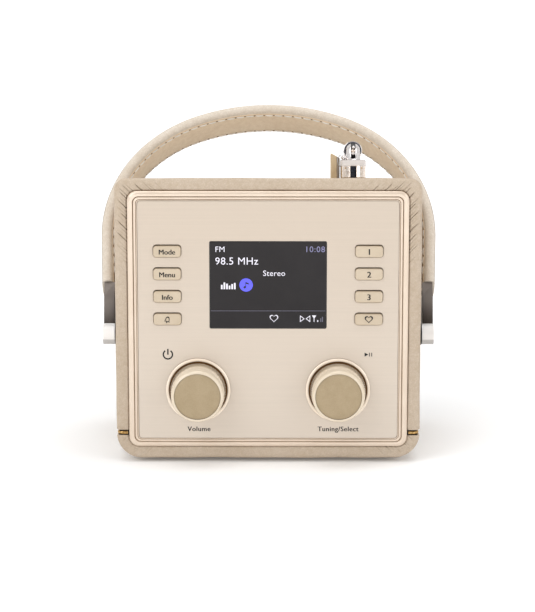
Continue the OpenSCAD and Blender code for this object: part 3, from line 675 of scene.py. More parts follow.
def crease_depths(rows, inset, stations, upper, length, side, arc):
    """How deep the creases at the two corners are, in millimetres; they fade away from them."""
    far = length - stations
    sink = np.zeros(inset.shape)
    rising, falling = rows[:, :, 2] + rows[:, :, 0], rows[:, :, 2] - rows[:, :, 0]
    if upper:
        for distance, slant, seed, reach_up in ((far, rising, 0.4, 10),
                                                (stations, falling, 1.7, 16)):
            at = distance - side - arc / 2
            near = np.where(at > 0, np.exp(-(np.maximum(0, at - 8) / reach_up) ** 2),
                            np.exp(-(np.maximum(0, -at - 20) / 16) ** 2))
            sink += 0.55 * near * creases(slant * SLANT, at, inset, 1.4, seed)
    else:
        for distance, slant, seed, depth in ((stations, rising, 0.9, 0.3),
                                             (far, falling, 2.4, 0.15)):
            at = distance - arc / 2
            near = np.exp(-(np.maximum(0, abs(at) - 7) / 6) ** 2)
            sink += depth * near * creases(slant * SLANT, at, inset, 1.5, seed)
    return sink


def face_outward(made):
    """Turns a wrap's faces so that the one furthest to the right looks right."""
    flank = max(made.faces, key=lambda f: f.calc_center_median().x)
    if flank.normal.x < 0:
        bmesh.ops.reverse_faces(made, faces=made.faces)


def wrap_mesh(upper):
    """One leather: outer face swept round the case, its ends rolled in, then given thickness."""
    outer = outline(0.0, FRONT_Y, upper)
    length = np.hypot(*np.diff(outer, axis=0).T).sum()
    side = (TOP_Z - TOP_R - SEAM_TOP) if upper else 0.0
    arc = math.pi / 2 * (TOP_R if upper else BOTTOM_R)
    stations, sunk = wrap_stations(upper, length, side, arc)
    section = rim_section()
    rows = np.array([np.insert(along(outline(d, y, upper), stations / length), 1, y, axis=1)
                     for d, y in section])
    inset = np.array([d for d, _ in section])[:, None] * np.ones(len(stations))
    on_front = np.array([y < FRONT_Y + EDGE_R + 1 for _, y in section])[:, None]
    sink = crease_depths(rows, inset, stations, upper, length, side, arc)
    crown = 0.16 * np.sin(np.pi * np.clip(inset / RIM, 0, 1))
    slow = 0.06 * (np.sin(stations * 0.21 + 0.7) + np.sin(stations * 0.083 + 2))
    lift = crown + slow - sunk - np.where(on_front, sink, 0.25 * sink)
    rows = rows + outward_normals(rows) * lift[:, :, None]
    mesh = grid([[tuple(p) for p in row] for row in rows])
    # painted shade: how dark the leather material paints each crease on the front rim
    crease_shade_depth = np.where(on_front, np.clip(sink / 0.5, 0, 1), 0)
    if len(mesh.vertices) == crease_shade_depth.size:
        store(mesh, "crease_shade", crease_shade_depth.ravel())
    obj = linked("wrap", edited(mesh, face_outward))
    thick = obj.modifiers.new("thick", "SOLIDIFY")
    thick.thickness, thick.offset = SKIN * MM, -1
    mesh = finished(obj).data
    bpy.data.objects.remove(obj)
    return mesh


piece("upper_leather", wrap_mesh(True), LEATHER, "case", ["upper_leather_wrap"], 50)
piece("lower_leather", wrap_mesh(False), LEATHER, "case", ["lower_leather_wrap"], 50)


# -------------------------------------------------------------- seam beads

def seam_bead(side):
    """A brass bead that runs in the seam from the front rim round the side to the back rim."""
    low, high = box("seam_trims")
    mid_z, half_h = (low.z + high.z) / 2 - 0.1, (high.z - low.z) / 2
    x_out, y_out, turn_r = high.x - 0.75, high.y - 0.75, 2.2
    inner = HALF_W - RIM + 0.6
    quarter = [(x_out - turn_r + turn_r * math.cos(a), y_out - turn_r + turn_r * math.sin(a))
               for a in np.radians(np.linspace(0, 90, 9))]
    back = quarter + [(inner, y_out)]
    front = [(x, -y) for x, y in reversed(back)]
    path = np.array(front + back) * (side, 1)
    tangent = np.gradient(path, axis=0)
    tangent /= np.linalg.norm(tangent, axis=1, keepdims=True)
    normal = np.stack([tangent[:, 1], -tangent[:, 0]], 1) * side
    rows = [[(p[0] + n[0] * 0.8 * math.cos(a), p[1] + n[1] * 0.8 * math.cos(a),
              mid_z + half_h * math.sin(a)) for a in once_round(16)]
            for p, n in zip(path, normal)]
    return grid(rows, round_cols=True, caps=True)


piece("seam_beads", joined(seam_bead(1), seam_bead(-1)), BRASS, "case",
      ["seam_trims"])


# ------------------------------------------------------ front frame, panel

BEZEL_LOW, BEZEL_HIGH = box("front_bezel")
PANEL_LOW, PANEL_HIGH = box("front_panel")
BEZEL_Z = (BEZEL_LOW.z + BEZEL_HIGH.z) / 2
BEZEL_W, BEZEL_H = BEZEL_HIGH.x, (BEZEL_HIGH.z - BEZEL_LOW.z) / 2
PANEL_Y = PANEL_LOW.y
BAND = BEZEL_W - PANEL_HIGH.x
PROUD = FRONT_Y - BEZEL_LOW.y
# the moulding's section: share of the band from the outside, height above the leather
MOULDING = [(0.0, -1.5), (0.0, 0.05), (0.02, 0.42), (0.06, 0.74), (0.12, 1.02), (0.2, 1.25),
            (0.29, 1.37), (0.36, 1.4), (0.45, 1.4), (0.5, 1.34), (0.527, 1.2), (0.54, 0.7),
            (0.555, 0.25), (0.575, 0.1), (0.59, 0.25), (0.605, 0.6), (0.63, 0.74), (0.68, 0.78),
            (0.77, 0.76), (0.81, 0.68), (0.825, 0.4), (0.84, 0.1), (0.855, 0.1), (0.87, 0.4),
            (0.885, 0.52), (0.93, 0.52), (0.95, 0.4), (0.955, -0.6), (0.955, -1.5)]


def bezel_moulding():
    """The frame's profiled band, swept round the panel."""
    rows = []
    panel_mid = (PANEL_LOW.z + PANEL_HIGH.z) / 2
    panel_h = (PANEL_HIGH.z - PANEL_LOW.z) / 2
    for share, height in MOULDING:
        half_w = BEZEL_W - share * BAND
        half_h = BEZEL_H + share * (panel_h - BEZEL_H)
        centre = BEZEL_Z + share * (panel_mid - BEZEL_Z)
        r = 4.9 - 3.3 * share
        y = FRONT_Y - height * PROUD / max(h for _, h in MOULDING)
        rows.append([(x, y, z) for x, z in rounded(half_w, half_h, r, 0, centre, 12)])
    mesh = grid(rows, round_rows=True, round_cols=True)
    # painted shade: the frame's grooves and its gap at the leather are painted darker, only faintly
    # along the foot band, whose grooves face up into the light
    depth = [min(1.0, max(0.0, (0.5 - (FRONT_Y - v.co.y / MM)) / 0.3))
             * (0.3 if v.co.z / MM < BEZEL_LOW.z + 1.4 * BAND else 1.0) for v in mesh.vertices]
    store(mesh, "groove_shade", depth)
    return mesh


def without(node, point, facing):
    """A CAD node's mesh without what lies past a plane in one direction; the cut is closed."""
    def change(made):
        merged(made)
        result = bmesh.ops.bisect_plane(
            made, geom=made.verts[:] + made.edges[:] + made.faces[:], dist=1e-7,
            plane_co=[c * MM for c in point], plane_no=facing, clear_outer=True)
        edges = [e for e in result["geom_cut"] if isinstance(e, bmesh.types.BMEdge)]
        bmesh.ops.triangle_fill(made, use_beauty=True, use_dissolve=False, edges=edges,
                                normal=facing)
        bmesh.ops.recalc_face_normals(made, faces=made.faces)
    return edited(frame["nodes"][node].data, change)


bezel_back = without("front_bezel", (0, PANEL_HIGH.y + 0.05, 0), (0, -1, 0))
piece("bezel_moulding", joined(bezel_moulding(), bezel_back), FRAME, "case",
      ["front_bezel"], 50)

WINDOW_LOW, WINDOW_HIGH = box("display_window")
WIN_X, WIN_Z = WINDOW_HIGH.x, (WINDOW_LOW.z + WINDOW_HIGH.z) / 2
WIN_H = (WINDOW_HIGH.z - WINDOW_LOW.z) / 2
WIN_Y = WINDOW_LOW.y
softened("window_glass", "display_window", GLASS_EDGE, "case", 0.2, 2)
piece("window_field", tower([(WIN_X - 0.5, WIN_H - 0.5, 0.5, WIN_Y + 0.01),
                             (WIN_X - 0.5, WIN_H - 0.5, 0.5, WIN_Y - 0.03)], 0, WIN_Z),
      GLASS, "case")


# --------------------------------------------------------- display picture

INK_Y = WIN_Y - 0.03


def at_display(u, v):
    """A place on the display: u from -1, left, to 1 and v from -1, foot, to 1."""
    return u * WIN_X, WIN_Z + v * WIN_H


def display_words():
    """The band, the frequency and the sound mode, all of them generic."""
    lines = (("FM", -0.905, 0.816, 2.75, 1.05), ("98.5 MHz", -0.905, 0.548, 3.6, 1.06),
             ("Stereo", -0.09, 0.27, 2.75, 1.05))
    return [words(text, *at_display(u, v), size, INK_Y, "LEFT", spacing=spacing)
            for text, u, v, size, spacing in lines]


def display_icons():
    """Small bars, a heart, two triangles, a mast and a signal bar, as on many radios."""
    x, z = at_display(-0.79, -0.02)
    shapes = [flat_shape([bar(x + i * 1.3 - 0.42, z - 1.7, x + i * 1.3 + 0.42, z - 1.7 + height)],
                         INK_Y)
              for i, height in enumerate((2.2, 3.4, 2.8, 1.8, 2.6, 3.2))]
    x, z = at_display(0.10, -0.774)
    loop = heart(x, z, 4.3)
    shapes.append(flat_shape([loop, scaled(loop, x, z + 0.1, 0.8)], INK_Y))
    for u, side in ((0.585, 1), (0.68, -1)):
        x, z = at_display(u, -0.774)
        loop = [(x - side * 1.15, z + 1.75), (x + side * 1.15, z), (x - side * 1.15, z - 1.75)]
        shapes.append(flat_shape([loop, scaled(loop, x - side * 0.3, z, 0.66)], INK_Y))
    x, z = at_display(0.786, -0.774)
    shapes.append(flat_shape([[(x - 1.1, z + 1.7), (x + 1.1, z + 1.7), (x + 0.16, z + 0.3),
                               (x + 0.16, z - 1.6), (x - 0.16, z - 1.6), (x - 0.16, z + 0.3)]],
                             INK_Y))
    x, z = at_display(0.85, -0.774)
    shapes.append(flat_shape([bar(x - 0.3, z - 1.6, x + 0.2, z - 0.7)], INK_Y))
    return shapes


def on_window(name, mesh, look):
    """A lit or printed piece of the display."""
    return piece("display_" + name, mesh, look, "case")


on_window("lit", joined(*display_words(), *display_icons()), LIT_WHITE)
clock_x, clock_z = at_display(0.97, 0.816)
on_window("clock", words("10:08", clock_x, clock_z, 2.85, INK_Y, "RIGHT", spacing=1.12), LIT_LILAC)
line_z = at_display(0, -0.594)[1]
bar_x, bar_z = at_display(0.9, -0.774)
on_window("line", joined(
    flat_shape([bar(0.6 - WIN_X, line_z - 0.12, WIN_X - 0.6, line_z + 0.12)], INK_Y),
    flat_shape([bar(bar_x - 0.25, bar_z - 1.6, bar_x + 0.25, bar_z + 0.2)], INK_Y),
    flat_shape([bar(bar_x + 0.6, bar_z - 1.6, bar_x + 1.1, bar_z + 1.0)], INK_Y)), LIT_DIM)
disc_x, disc_z = at_display(-0.375, 0.0)
note = [circle(disc_x - 0.7, disc_z - 1.15, 0.62, 20),
        bar(disc_x - 0.3, disc_z - 1.1, disc_x - 0.02, disc_z + 1.5),
        [(disc_x - 0.3, disc_z + 1.5), (disc_x - 0.3, disc_z + 0.7), (disc_x + 1.3, disc_z + 0.2),
         (disc_x + 1.3, disc_z + 1.0)]]
on_window("disc", flat_shape([circle(disc_x, disc_z, 3.35, 48)], INK_Y), LIT_BLUE)
on_window("note", joined(*[flat_shape([loop], INK_Y - INK_T) for loop in note]), GLASS_EDGE)


# ---------------------------------------------------- buttons and legends

DROP = 0.22  # the cap sits low in its hole
# the cap's rounded edge: how far in across and up, corner radius, distance behind the face
CAP_EDGE = [(0.0, 0.0, 1.5, 0.62), (0.08, 0.08, 1.45, 0.34), (0.3, 0.3, 1.3, 0.12),
            (0.55, 0.5, 1.1, 0.02), (0.8, 0.75, 0.95, 0.03), (1.5, 1.4, 0.6, 0.07)]
BUTTONS = ["mode", "menu", "info", "alarm", "preset_1", "preset_2", "preset_3", "favourite"]


def bell(cx, cz, y):
    """An outlined bell that hangs a little aslant, and its clapper."""
    half = ((1.0, -0.8), (0.74, -0.45), (0.68, 0.3), (0.5, 0.85), (0.2, 1.15))
    body = [(1.5 * w, 1.4 * h) for w, h in half] + [(-1.5 * w, 1.4 * h)
                                                     for w, h in reversed(half)]
    tilt = math.radians(-14)
    turned = [(cx + x * math.cos(tilt) - z * math.sin(tilt),
               cz + x * math.sin(tilt) + z * math.cos(tilt)) for x, z in body]
    return [flat_shape([turned, scaled(turned, cx, cz, 0.64)], y),
            flat_shape([circle(cx - 0.4, cz - 1.4, 0.34, 14)], y)]


for name in BUTTONS:
    body = name + "_button"
    low, high = box(body)
    x, z = (low.x + high.x) / 2, (low.z + high.z) / 2
    half_w, half_h = (high.x - low.x) / 2 - 1.2, (high.z - low.z) / 2 - 1.2
    face = low.y
    rings = [(half_w + 1.2, half_h + 1.2, 1.6, PANEL_HIGH.y + 4),
             (half_w + 1.2, half_h + 1.2, 1.6, PANEL_HIGH.y + 3.1),
             (half_w, half_h - DROP, 1.5, PANEL_HIGH.y + 3.1)]
    rings += [(half_w - across, half_h - DROP - up, r, face + behind)
              for across, up, r, behind in CAP_EDGE]
    piece(name + "_cap", tower(rings, x, z - DROP), CAPS, body, [body], 45)
    ink = face + 0.05
    mark_z = z - DROP
    if name in ("mode", "menu", "info"):
        legend = words(name.capitalize(), x, mark_z - 0.1, 2.5, ink, weight=0.1)
    elif name.startswith("preset"):
        legend = words(name[-1], x, mark_z, 2.9, ink, weight=0.12)
    elif name == "alarm":
        legend = joined(*bell(x, mark_z, ink))
    else:
        loop = heart(x, mark_z, 4.2)
        legend = flat_shape([loop, scaled(loop, x, mark_z, 0.68)], ink)
    piece(name + "_legend", legend, PRINT, body)

KNOB_X = (box("tuning_knob")[0].x + box("tuning_knob")[1].x) / 2
KNOB_Z = (box("tuning_knob")[0].z + box("tuning_knob")[1].z) / 2
MARK_X, MARK_Z, LABEL_Z = 50.25, KNOB_Z + 18.2, PANEL_LOW.z + 4.7
marks = [flat_shape([arc_band(-MARK_X, MARK_Z, 2.3, 0.72, 125, 415)], PANEL_Y),
         flat_shape([bar(-MARK_X - 0.36, MARK_Z - 0.1, -MARK_X + 0.36, MARK_Z + 2.85)], PANEL_Y),
         flat_shape([[(MARK_X - 1.9, MARK_Z + 1.05), (MARK_X + 0.05, MARK_Z),
                      (MARK_X - 1.9, MARK_Z - 1.05)]], PANEL_Y),
         flat_shape([bar(MARK_X + 0.35, MARK_Z - 0.95, MARK_X + 0.75, MARK_Z + 0.95)], PANEL_Y),
         flat_shape([bar(MARK_X + 1.5, MARK_Z - 0.95, MARK_X + 1.9, MARK_Z + 0.95)], PANEL_Y),
         words("Volume", -KNOB_X + 0.3, LABEL_Z, 2.4, PANEL_Y, spacing=1.08, weight=0.09),
         words("Tuning/Select", KNOB_X + 0.2, LABEL_Z, 2.4, PANEL_Y, spacing=1.08, weight=0.09)]
piece("printed_marks", joined(*marks), PRINT, "case")


# ------------------------------------------------------------------ knobs

for name, x in (("volume", -KNOB_X), ("tuning", KNOB_X)):
    low, high = box(name + "_knob")
    foot, face = high.y, low.y
    big_r, cap_r = high.x - (low.x + high.x) / 2, (box(name + "_knob_cap")[1].x - x)
    edge_r, small_r = 1.5, big_r - 0.9
    turned = [(0, foot - 6), (5.4, foot - 6), (5.6, foot - 0.6), (big_r - 0.6, foot - 0.2),
              (big_r - 0.12, foot - 0.35), (big_r, foot - 0.8)]
    turned += [(small_r - edge_r + edge_r * math.cos(a), face + edge_r - edge_r * math.sin(a))
               for a in np.radians(np.linspace(4, 90, 12))]
    turned += [(cap_r + 0.2, face + 0.02), (cap_r + 0.1, face + 0.2), (cap_r + 0.05, face + 1.0),
               (0, face + 1.0)]
    knob = piece(name + "_knob_body", lathe(turned, x, KNOB_Z), KNOB, name + "_knob",
                 [name + "_knob"], 50)
    # painted shade: the recess round the face disc is painted dark
    store(knob.data, "groove_shade", [
        float(face + 0.1 < v.co.y / MM < face + 1.1
              and math.hypot(v.co.x / MM - x, v.co.z / MM - KNOB_Z) < cap_r + 0.3)
        for v in knob.data.vertices])
    disc = [(0, face + 0.95), (cap_r - 0.22, face + 0.95), (cap_r - 0.2, face + 0.42),
            (cap_r - 0.26, face + 0.26), (cap_r - 0.45, face + 0.18), (cap_r * 0.6, face + 0.2),
            (0, face + 0.22)]
    piece(name + "_knob_disc", lathe(disc, x, KNOB_Z),
          speckled(name + "_disc_olive", (188, 168, 136), (170, 150, 116), (x, face, KNOB_Z),
                   gain=0.82),
          name + "_knob", [name + "_knob_cap"], 50)

collar_r = box("knob_collars")[1].x - KNOB_X
collar = [(collar_r, PANEL_Y), (collar_r - 0.03, PANEL_Y - 0.3), (collar_r - 0.1, PANEL_Y - 0.75),
          (collar_r - 0.35, PANEL_Y - 0.95), (collar_r - 0.8, PANEL_Y - 1.0),
          (collar_r - 1.3, PANEL_Y - 0.95), (collar_r - 1.55, PANEL_Y - 0.8),
          (collar_r - 1.65, PANEL_Y - 0.3), (collar_r - 1.8, PANEL_Y - 0.2),
          (collar_r - 6, PANEL_Y - 0.2), (collar_r - 6, PANEL_Y)]
collars = piece("knob_collar_rings", joined(lathe(collar, KNOB_X, KNOB_Z, closed=True),
                                            lathe(collar, -KNOB_X, KNOB_Z, closed=True)),
                COLLAR, "case", ["knob_collars"], 50)
# painted shade: a dark line where the collar ring meets the panel
store(collars.data, "groove_shade", [float(PANEL_Y - v.co.y / MM < 0.4) for v in collars.data.vertices])


# ----------------------------------------------------------------- handle

JOINTS = {j["name"]: j for j in frame["joints"]}
PIVOT = Vector([c / MM for c in JOINTS["handle_swing"]["pos_m"]])
HANDLE_LEAN = math.radians(37)  # how far the handle leans back at rest
STRAP_TOP_R, SHOULDER_FROM, SIDE_TILT = 110.0, math.radians(22), math.radians(2.6)
STRAP_T = 6.0
# the handle stood up on its pivots
UPRIGHT = Matrix.Rotation(HANDLE_LEAN, 4, "X") @ Matrix.Translation(-PIVOT)
strap_co = np.array([UPRIGHT @ (v.co / MM) for v in frame["nodes"]["handle_leather"].data.vertices])
REACH, HALF_SPAN, STRAP_HALF = strap_co[:, 2].max(), strap_co[:, 0].max(), strap_co[:, 1].max()
STRAP_END = strap_co[:, 2].min()
SHOULDER_R = (HALF_SPAN - STRAP_TOP_R * math.sin(SHOULDER_FROM)) / (1 - math.sin(SHOULDER_FROM))
TOP_C = REACH - STRAP_TOP_R
SHOULDER_X = (STRAP_TOP_R - SHOULDER_R) * math.sin(SHOULDER_FROM)
SHOULDER_Z = TOP_C + (STRAP_TOP_R - SHOULDER_R) * math.cos(SHOULDER_FROM)
LEAN_BACK = UPRIGHT.inverted()


def strap_line(step):
    """Places along the strap's outer face from the left end to the right: (x, z), (nx, nz)."""
    right = []
    count = int(STRAP_TOP_R * SHOULDER_FROM / step)
    for a in np.linspace(0, SHOULDER_FROM, count + 1)[:-1]:
        right.append((STRAP_TOP_R * math.sin(a), TOP_C + STRAP_TOP_R * math.cos(a), a))
    end_a = math.pi / 2 + SIDE_TILT
    count = int(SHOULDER_R * (end_a - SHOULDER_FROM) / step)
    for a in np.linspace(SHOULDER_FROM, end_a, count + 1)[:-1]:
        right.append((SHOULDER_X + SHOULDER_R * math.sin(a),
                      SHOULDER_Z + SHOULDER_R * math.cos(a), a))
    x0 = SHOULDER_X + SHOULDER_R * math.sin(end_a)
    z0 = SHOULDER_Z + SHOULDER_R * math.cos(end_a)
    run = (z0 - STRAP_END) / math.cos(SIDE_TILT)
    for t in np.linspace(0, run, int(run / step) + 2):
        right.append((x0 - t * math.sin(SIDE_TILT), z0 - t * math.cos(SIDE_TILT), end_a))
    line = [(-x, z, -a) for x, z, a in reversed(right[1:])] + right
    return [(x, z, math.sin(a), math.cos(a)) for x, z, a in line]


def on_strap(place, depth, v):
    """A point of the strap: depth below its outer face and v across it, in the row frame."""
    x, z, nx, nz = place
    return tuple(LEAN_BACK @ Vector((x - depth * nx, v, z - depth * nz)))


def swept(places, section):
    return grid([[on_strap(p, depth, v) for v, depth in section] for p in places],
                round_cols=True, caps=True)


def strap_section():
    """Outer leather: domed on top, rolled round both edges and folded in under the lining."""
    w, edge = STRAP_HALF, STRAP_T / 2 - 0.1
    out = []
    for a in np.radians(np.linspace(100, -90, 15)):
        out.append((w - edge + edge * math.cos(a), STRAP_T / 2 - edge * math.sin(a)))
    out.append((w - edge - 0.4, STRAP_T - 0.3))
    out.append((w - edge - 0.8, STRAP_T - 1.6))
    left = [(-v, d) for v, d in reversed(out)]
    dome = [(v, 0.02 - 0.28 * (1 - (v / (w - 2)) ** 2)) for v in np.linspace(-w + 2.4, w - 2.4, 13)]
    return out + left + dome


lines = strap_line(1.6)
strap = piece("handle_leather_pad", swept(lines, strap_section()), STRAP, "handle",
              ["handle_leather"], 60)

LINING_HALF = STRAP_HALF - 1.9
lining = [(-LINING_HALF, STRAP_T - 0.35), (-LINING_HALF, STRAP_T - 0.12),
          (-LINING_HALF + 0.25, STRAP_T + 0.02)]
lining += [(v, STRAP_T + 0.03 + 0.1 * (1 - (v / LINING_HALF) ** 2))
           for v in np.linspace(-LINING_HALF + 0.6, LINING_HALF - 0.6, 17)]
lining += [(LINING_HALF - 0.25, STRAP_T + 0.02), (LINING_HALF, STRAP_T - 0.12),
           (LINING_HALF, STRAP_T - 0.35)]
lining += [(-v, STRAP_T - 1.4) for v in np.linspace(-LINING_HALF, LINING_HALF, 5)]
piece("handle_lining_band", swept(lines, lining), LINING, "handle",
      ["handle_lining"], 60)


STITCH_PITCH, ROW_AT = 5.5, 8.1


def needle_hole(place_at, s, v):
    """A small dent where the thread goes in, s along the strap and v across it."""
    rows = []
    for a in np.linspace(0, math.pi, 5):
        r = 0.42 * math.sin(a) + 0.01
        rows.append([on_strap(place_at(s + 0.6 * math.cos(a)),
                              STRAP_T + 0.1 + 0.1 * math.sin(t), v + r * math.cos(t))
                     for t in once_round(8)])
    return grid(rows, round_cols=True, caps=True)


def stitch(place_at, s, v):
    """One thread from the hole at s to the next: it rises in the middle and slants a little."""
    rows = []
    for share in np.linspace(0, 1, 9):
        off = abs(share - 0.5) * 2
        place = place_at(s + 0.5 + (STITCH_PITCH - 1.0) * share)
        rise = 0.08 + 0.14 * math.sin(math.pi * share) - 0.16 * off ** 4
        r = 0.36 * (1 - 0.7 * off ** 6)
        rows.append([on_strap(place, STRAP_T + 0.12 + rise - r * math.sin(t),
                              v + 0.22 * (share - 0.5) + r * math.cos(t))
                     for t in once_round(8)])
    return grid(rows, round_cols=True, caps=True)


def sewn_rows():
    """Threads between the needle holes of both rows, and the holes."""
    threads, holes = [], []
    fine = strap_line(0.25)
    steps = np.array([(p[0], p[1]) for p in fine])
    run = np.concatenate([[0], np.cumsum(np.hypot(*np.diff(steps, axis=0).T))])
    count = int((run[-1] - 6) / STITCH_PITCH)
    start = (run[-1] - count * STITCH_PITCH) / 2

    def place_at(s):
        return fine[int(np.clip(np.searchsorted(run, s), 0, len(fine) - 1))]

    for v in (-ROW_AT, ROW_AT):
        for i in range(count + 1):
            holes.append(needle_hole(place_at, start + i * STITCH_PITCH, v))
            if i < count:
                threads.append(stitch(place_at, start + i * STITCH_PITCH, v))
    return joined(*threads), joined(*holes)


thread_mesh, hole_mesh = sewn_rows()
piece("handle_stitching", thread_mesh, THREAD, "handle", smooth=80)
piece("handle_stitch_holes", hole_mesh, HOLE_SHADE, "handle", smooth=80)

BRACKET = keyed("bracket_satin", (250, 248, 246), (122, 114, 108), (52, 44, 38), PIVOT)
for side in ("left", "right"):
    softened(side + "_bracket", side + "_handle_bracket", BRACKET, "handle",
             0.45, 3)
softened("strap_screw_heads", "strap_screws", CHROME, "handle", 0.2)
for name, node, look, slot, width in (
        ("side_plate_pair", "side_plates", BLACK, "black_fittings", 0.3),
        ("washer_pair", "pivot_washers", BLACK, "black_fittings", 0.2),
        ("pivot_bolt_pair", "pivot_bolts", CHROME, "bracket_chrome", 0.25)):
    softened(name, node, look, "case", width)


# ----------------------------------------------------------------- aerial

softened("aerial_flange", "antenna_base", CHEEK, "case", 0.2)
cheek = softened("aerial_cheek", "antenna_rest", CHEEK, "case", 0.3, 3)
CHEEK_W = 2.9
inner = box("antenna_rest")[0].x + CHEEK_W
# painted shade: the cheek's inner slanted face beside the barrel is painted dark brown
store(cheek.data, "groove_shade", [min(1.0, max(0.0, (v.co.x / MM - inner) * 4))
                             for v in cheek.data.vertices])
FOOT = Vector(JOINTS["antenna_turn"]["pos_m"]) / MM
UP = Vector(JOINTS["antenna_turn"]["axis"])
SIDE = Vector((1, 0, 0))
REAR = UP.cross(SIDE)
HINGE_Z = (Vector(JOINTS["antenna_raise"]["pos_m"]) / MM - FOOT).dot(UP)
TURN_LOW, TURN_HIGH = box("antenna_fork")
BARREL_R = (TURN_HIGH.x - TURN_LOW.x) / 2
BARREL_FOOT, BARREL_TOP, COLLAR_TOP = 0.9, 7.0, 10.0
SLOT_TURN = 14  # half of the barrel's front slot, in degrees


def on_mast(x, y, z):
    """A point of the aerial's own frame, which stands on the sloping top."""
    return tuple(FOOT + SIDE * x + REAR * y + UP * z)


def upright_turned(profile, start=0.0, end=360.0, steps=72):
    """A body turned about the aerial's upright axis from a closed loop of (radius, z) pairs."""
    whole = end - start >= 360
    angles = np.radians(np.linspace(start, end, steps + 1)[:-1 if whole else None])
    rows = [[on_mast(r * math.cos(a), r * math.sin(a), z) for r, z in profile] for a in angles]
    return grid(rows, round_rows=whole, round_cols=True, caps=not whole)


def along_rear(profile, closed=False):
    """A body turned about an axis through the hinge to the rear, from (radius, y) pairs."""
    rows = [[on_mast(r * math.cos(a), y, HINGE_Z + r * math.sin(a)) for a in once_round(64)]
            for r, y in profile]
    return grid(rows, round_rows=closed, round_cols=True)


def ball(x, y, z, rx, ry, rz):
    """A rounded lug."""
    rows = [[on_mast(x + rx * math.sin(t) * math.cos(a), y + ry * math.sin(t) * math.sin(a),
                     z + rz * math.cos(t)) for a in once_round(24)]
            for t in np.linspace(0, math.pi, 13)]
    return grid(rows, round_cols=True)


def wire(points, r):
    """A round wire through points of the aerial's frame, which lie in one plane of constant y."""
    path = np.array(points, float)
    tangent = np.gradient(path, axis=0)
    tangent /= np.linalg.norm(tangent, axis=1, keepdims=True)
    rows = [[on_mast(p[0] - t[2] * r * math.cos(a), p[1] + r * math.sin(a),
                     p[2] + t[0] * r * math.cos(a)) for a in once_round(10)]
            for p, t in zip(path, tangent)]
    return grid(rows, round_cols=True, caps=True)


def aerial(name, mesh, look, body="antenna_swivel", replaced=(), smooth=40):
    """A piece of the aerial, on the swivel unless a body is given."""
    return piece("aerial_" + name, mesh, look, body, replaced, smooth)


SHELL_R, SHELL_IN, SOFT = BARREL_R - 0.1, 5.3, 0.25
shell = [(SHELL_IN, BARREL_FOOT), (SHELL_R - SOFT, BARREL_FOOT), (SHELL_R, BARREL_FOOT + SOFT),
         (SHELL_R, BARREL_TOP - 0.1), (SHELL_IN, BARREL_TOP - 0.1)]
aerial("barrel", upright_turned(shell, SLOT_TURN - 90, 270 - SLOT_TURN), CHROME_WARM,
       replaced=["antenna_fork"])
core = [(0, 0.5 - 9), (3, 0.5 - 9), (3, BARREL_FOOT), (4.7, BARREL_FOOT)]
for i in range(7):
    z = BARREL_FOOT + 0.2 + i * 0.82
    core += [(4.7, z), (5.05, z + 0.15), (5.05, z + 0.5), (4.7, z + 0.65)]
core += [(4.7, BARREL_TOP), (0, BARREL_TOP)]
aerial("core", upright_turned(core), CORE, smooth=30)
collar = [(0.2, BARREL_TOP - 0.2), (BARREL_R - 0.25, BARREL_TOP - 0.2),
          (BARREL_R, BARREL_TOP + 0.05), (BARREL_R, COLLAR_TOP - 0.4),
          (BARREL_R - 0.4, COLLAR_TOP), (0.2, COLLAR_TOP)]
aerial("collar", upright_turned(collar), COLLAR_WHITE)
ears = without("antenna_fork", on_mast(0, 0, COLLAR_TOP - 0.1), -UP)
aerial("ears", joined(ears, ball(-4.7, -0.6, 11.3, 1.35, 1.5, 1.3)), CHROME, smooth=35)
bend = [(-4.7 - 3.2 * math.cos(a), -2.2, 9.6 + 3.4 * math.sin(a))
        for a in np.radians(np.linspace(-62, 62, 25))]
aerial("clip", wire(bend, 0.22), STEEL)
rivets = [ball(x, -math.sqrt(SHELL_R ** 2 - x * x), 5.8, 0.38, 0.3, 0.38) for x in (-3.8, 4.3)]
aerial("rivets", joined(*rivets), BRASS)
softened("aerial_pin", "antenna_pin", STEEL, "antenna_swivel", 0.12)

KNUCKLE_LOW, KNUCKLE_HIGH = box("antenna_knuckle")
TUBE_R = 3.6
FERRULE_R = (KNUCKLE_HIGH.x - KNUCKLE_LOW.x) / 2
ferrule = [(0, 4.4), (3.3, 4.4), (3.9, 4.15), (FERRULE_R - 0.35, 4.1), (FERRULE_R - 0.1, 4.2),
           (FERRULE_R, 4.45), (FERRULE_R, 8.7), (FERRULE_R - 0.3, 9.1), (TUBE_R, 9.1),
           (TUBE_R, 5.7), (0, 5.7)]
aerial("ferrule", along_rear(ferrule), CHROME, "antenna_rod", ["antenna_knuckle"], 30)
# painted reflection: a dark ring at the ferrule's front rim stands in for the dark that its chrome
# edge reflects
reflection_rim = [(3.35, 4.3), (3.5, 3.98), (4.2, 3.95), (4.35, 4.15), (4.3, 4.3)]
aerial("ferrule_reflection_ring", along_rear(reflection_rim, closed=True), CORE, "antenna_rod", smooth=30)


def tongue():
    """Round tongue between the ears, with its neck to the ferrule."""
    loop = [(3.4 * math.cos(a), 3.4 * math.sin(a)) for a in np.radians(np.linspace(36, 324, 40))]
    loop += [(4.3, -2.0), (4.3, 2.0)]
    rows = [[on_mast(x, y * share, HINGE_Z + z * share) for y, z in loop]
            for x, share in ((-1.1, 0.96), (-0.95, 1.0), (0.95, 1.0), (1.1, 0.96))]
    return grid(rows, round_cols=True, caps=True)


# painted shade: the tongue is black to give the dark slot between the ears
aerial("tongue", tongue(), BLACK, "antenna_rod", smooth=30)
aerial("ball", ball(0.15, -3.05, HINGE_Z + 1.35, 0.85, 0.8, 0.85), CHROME, "antenna_rod")
aerial("band", ball(0, -3.25, HINGE_Z - 0.4, 1.05, 0.45, 0.75), CHROME_WARM, "antenna_rod")
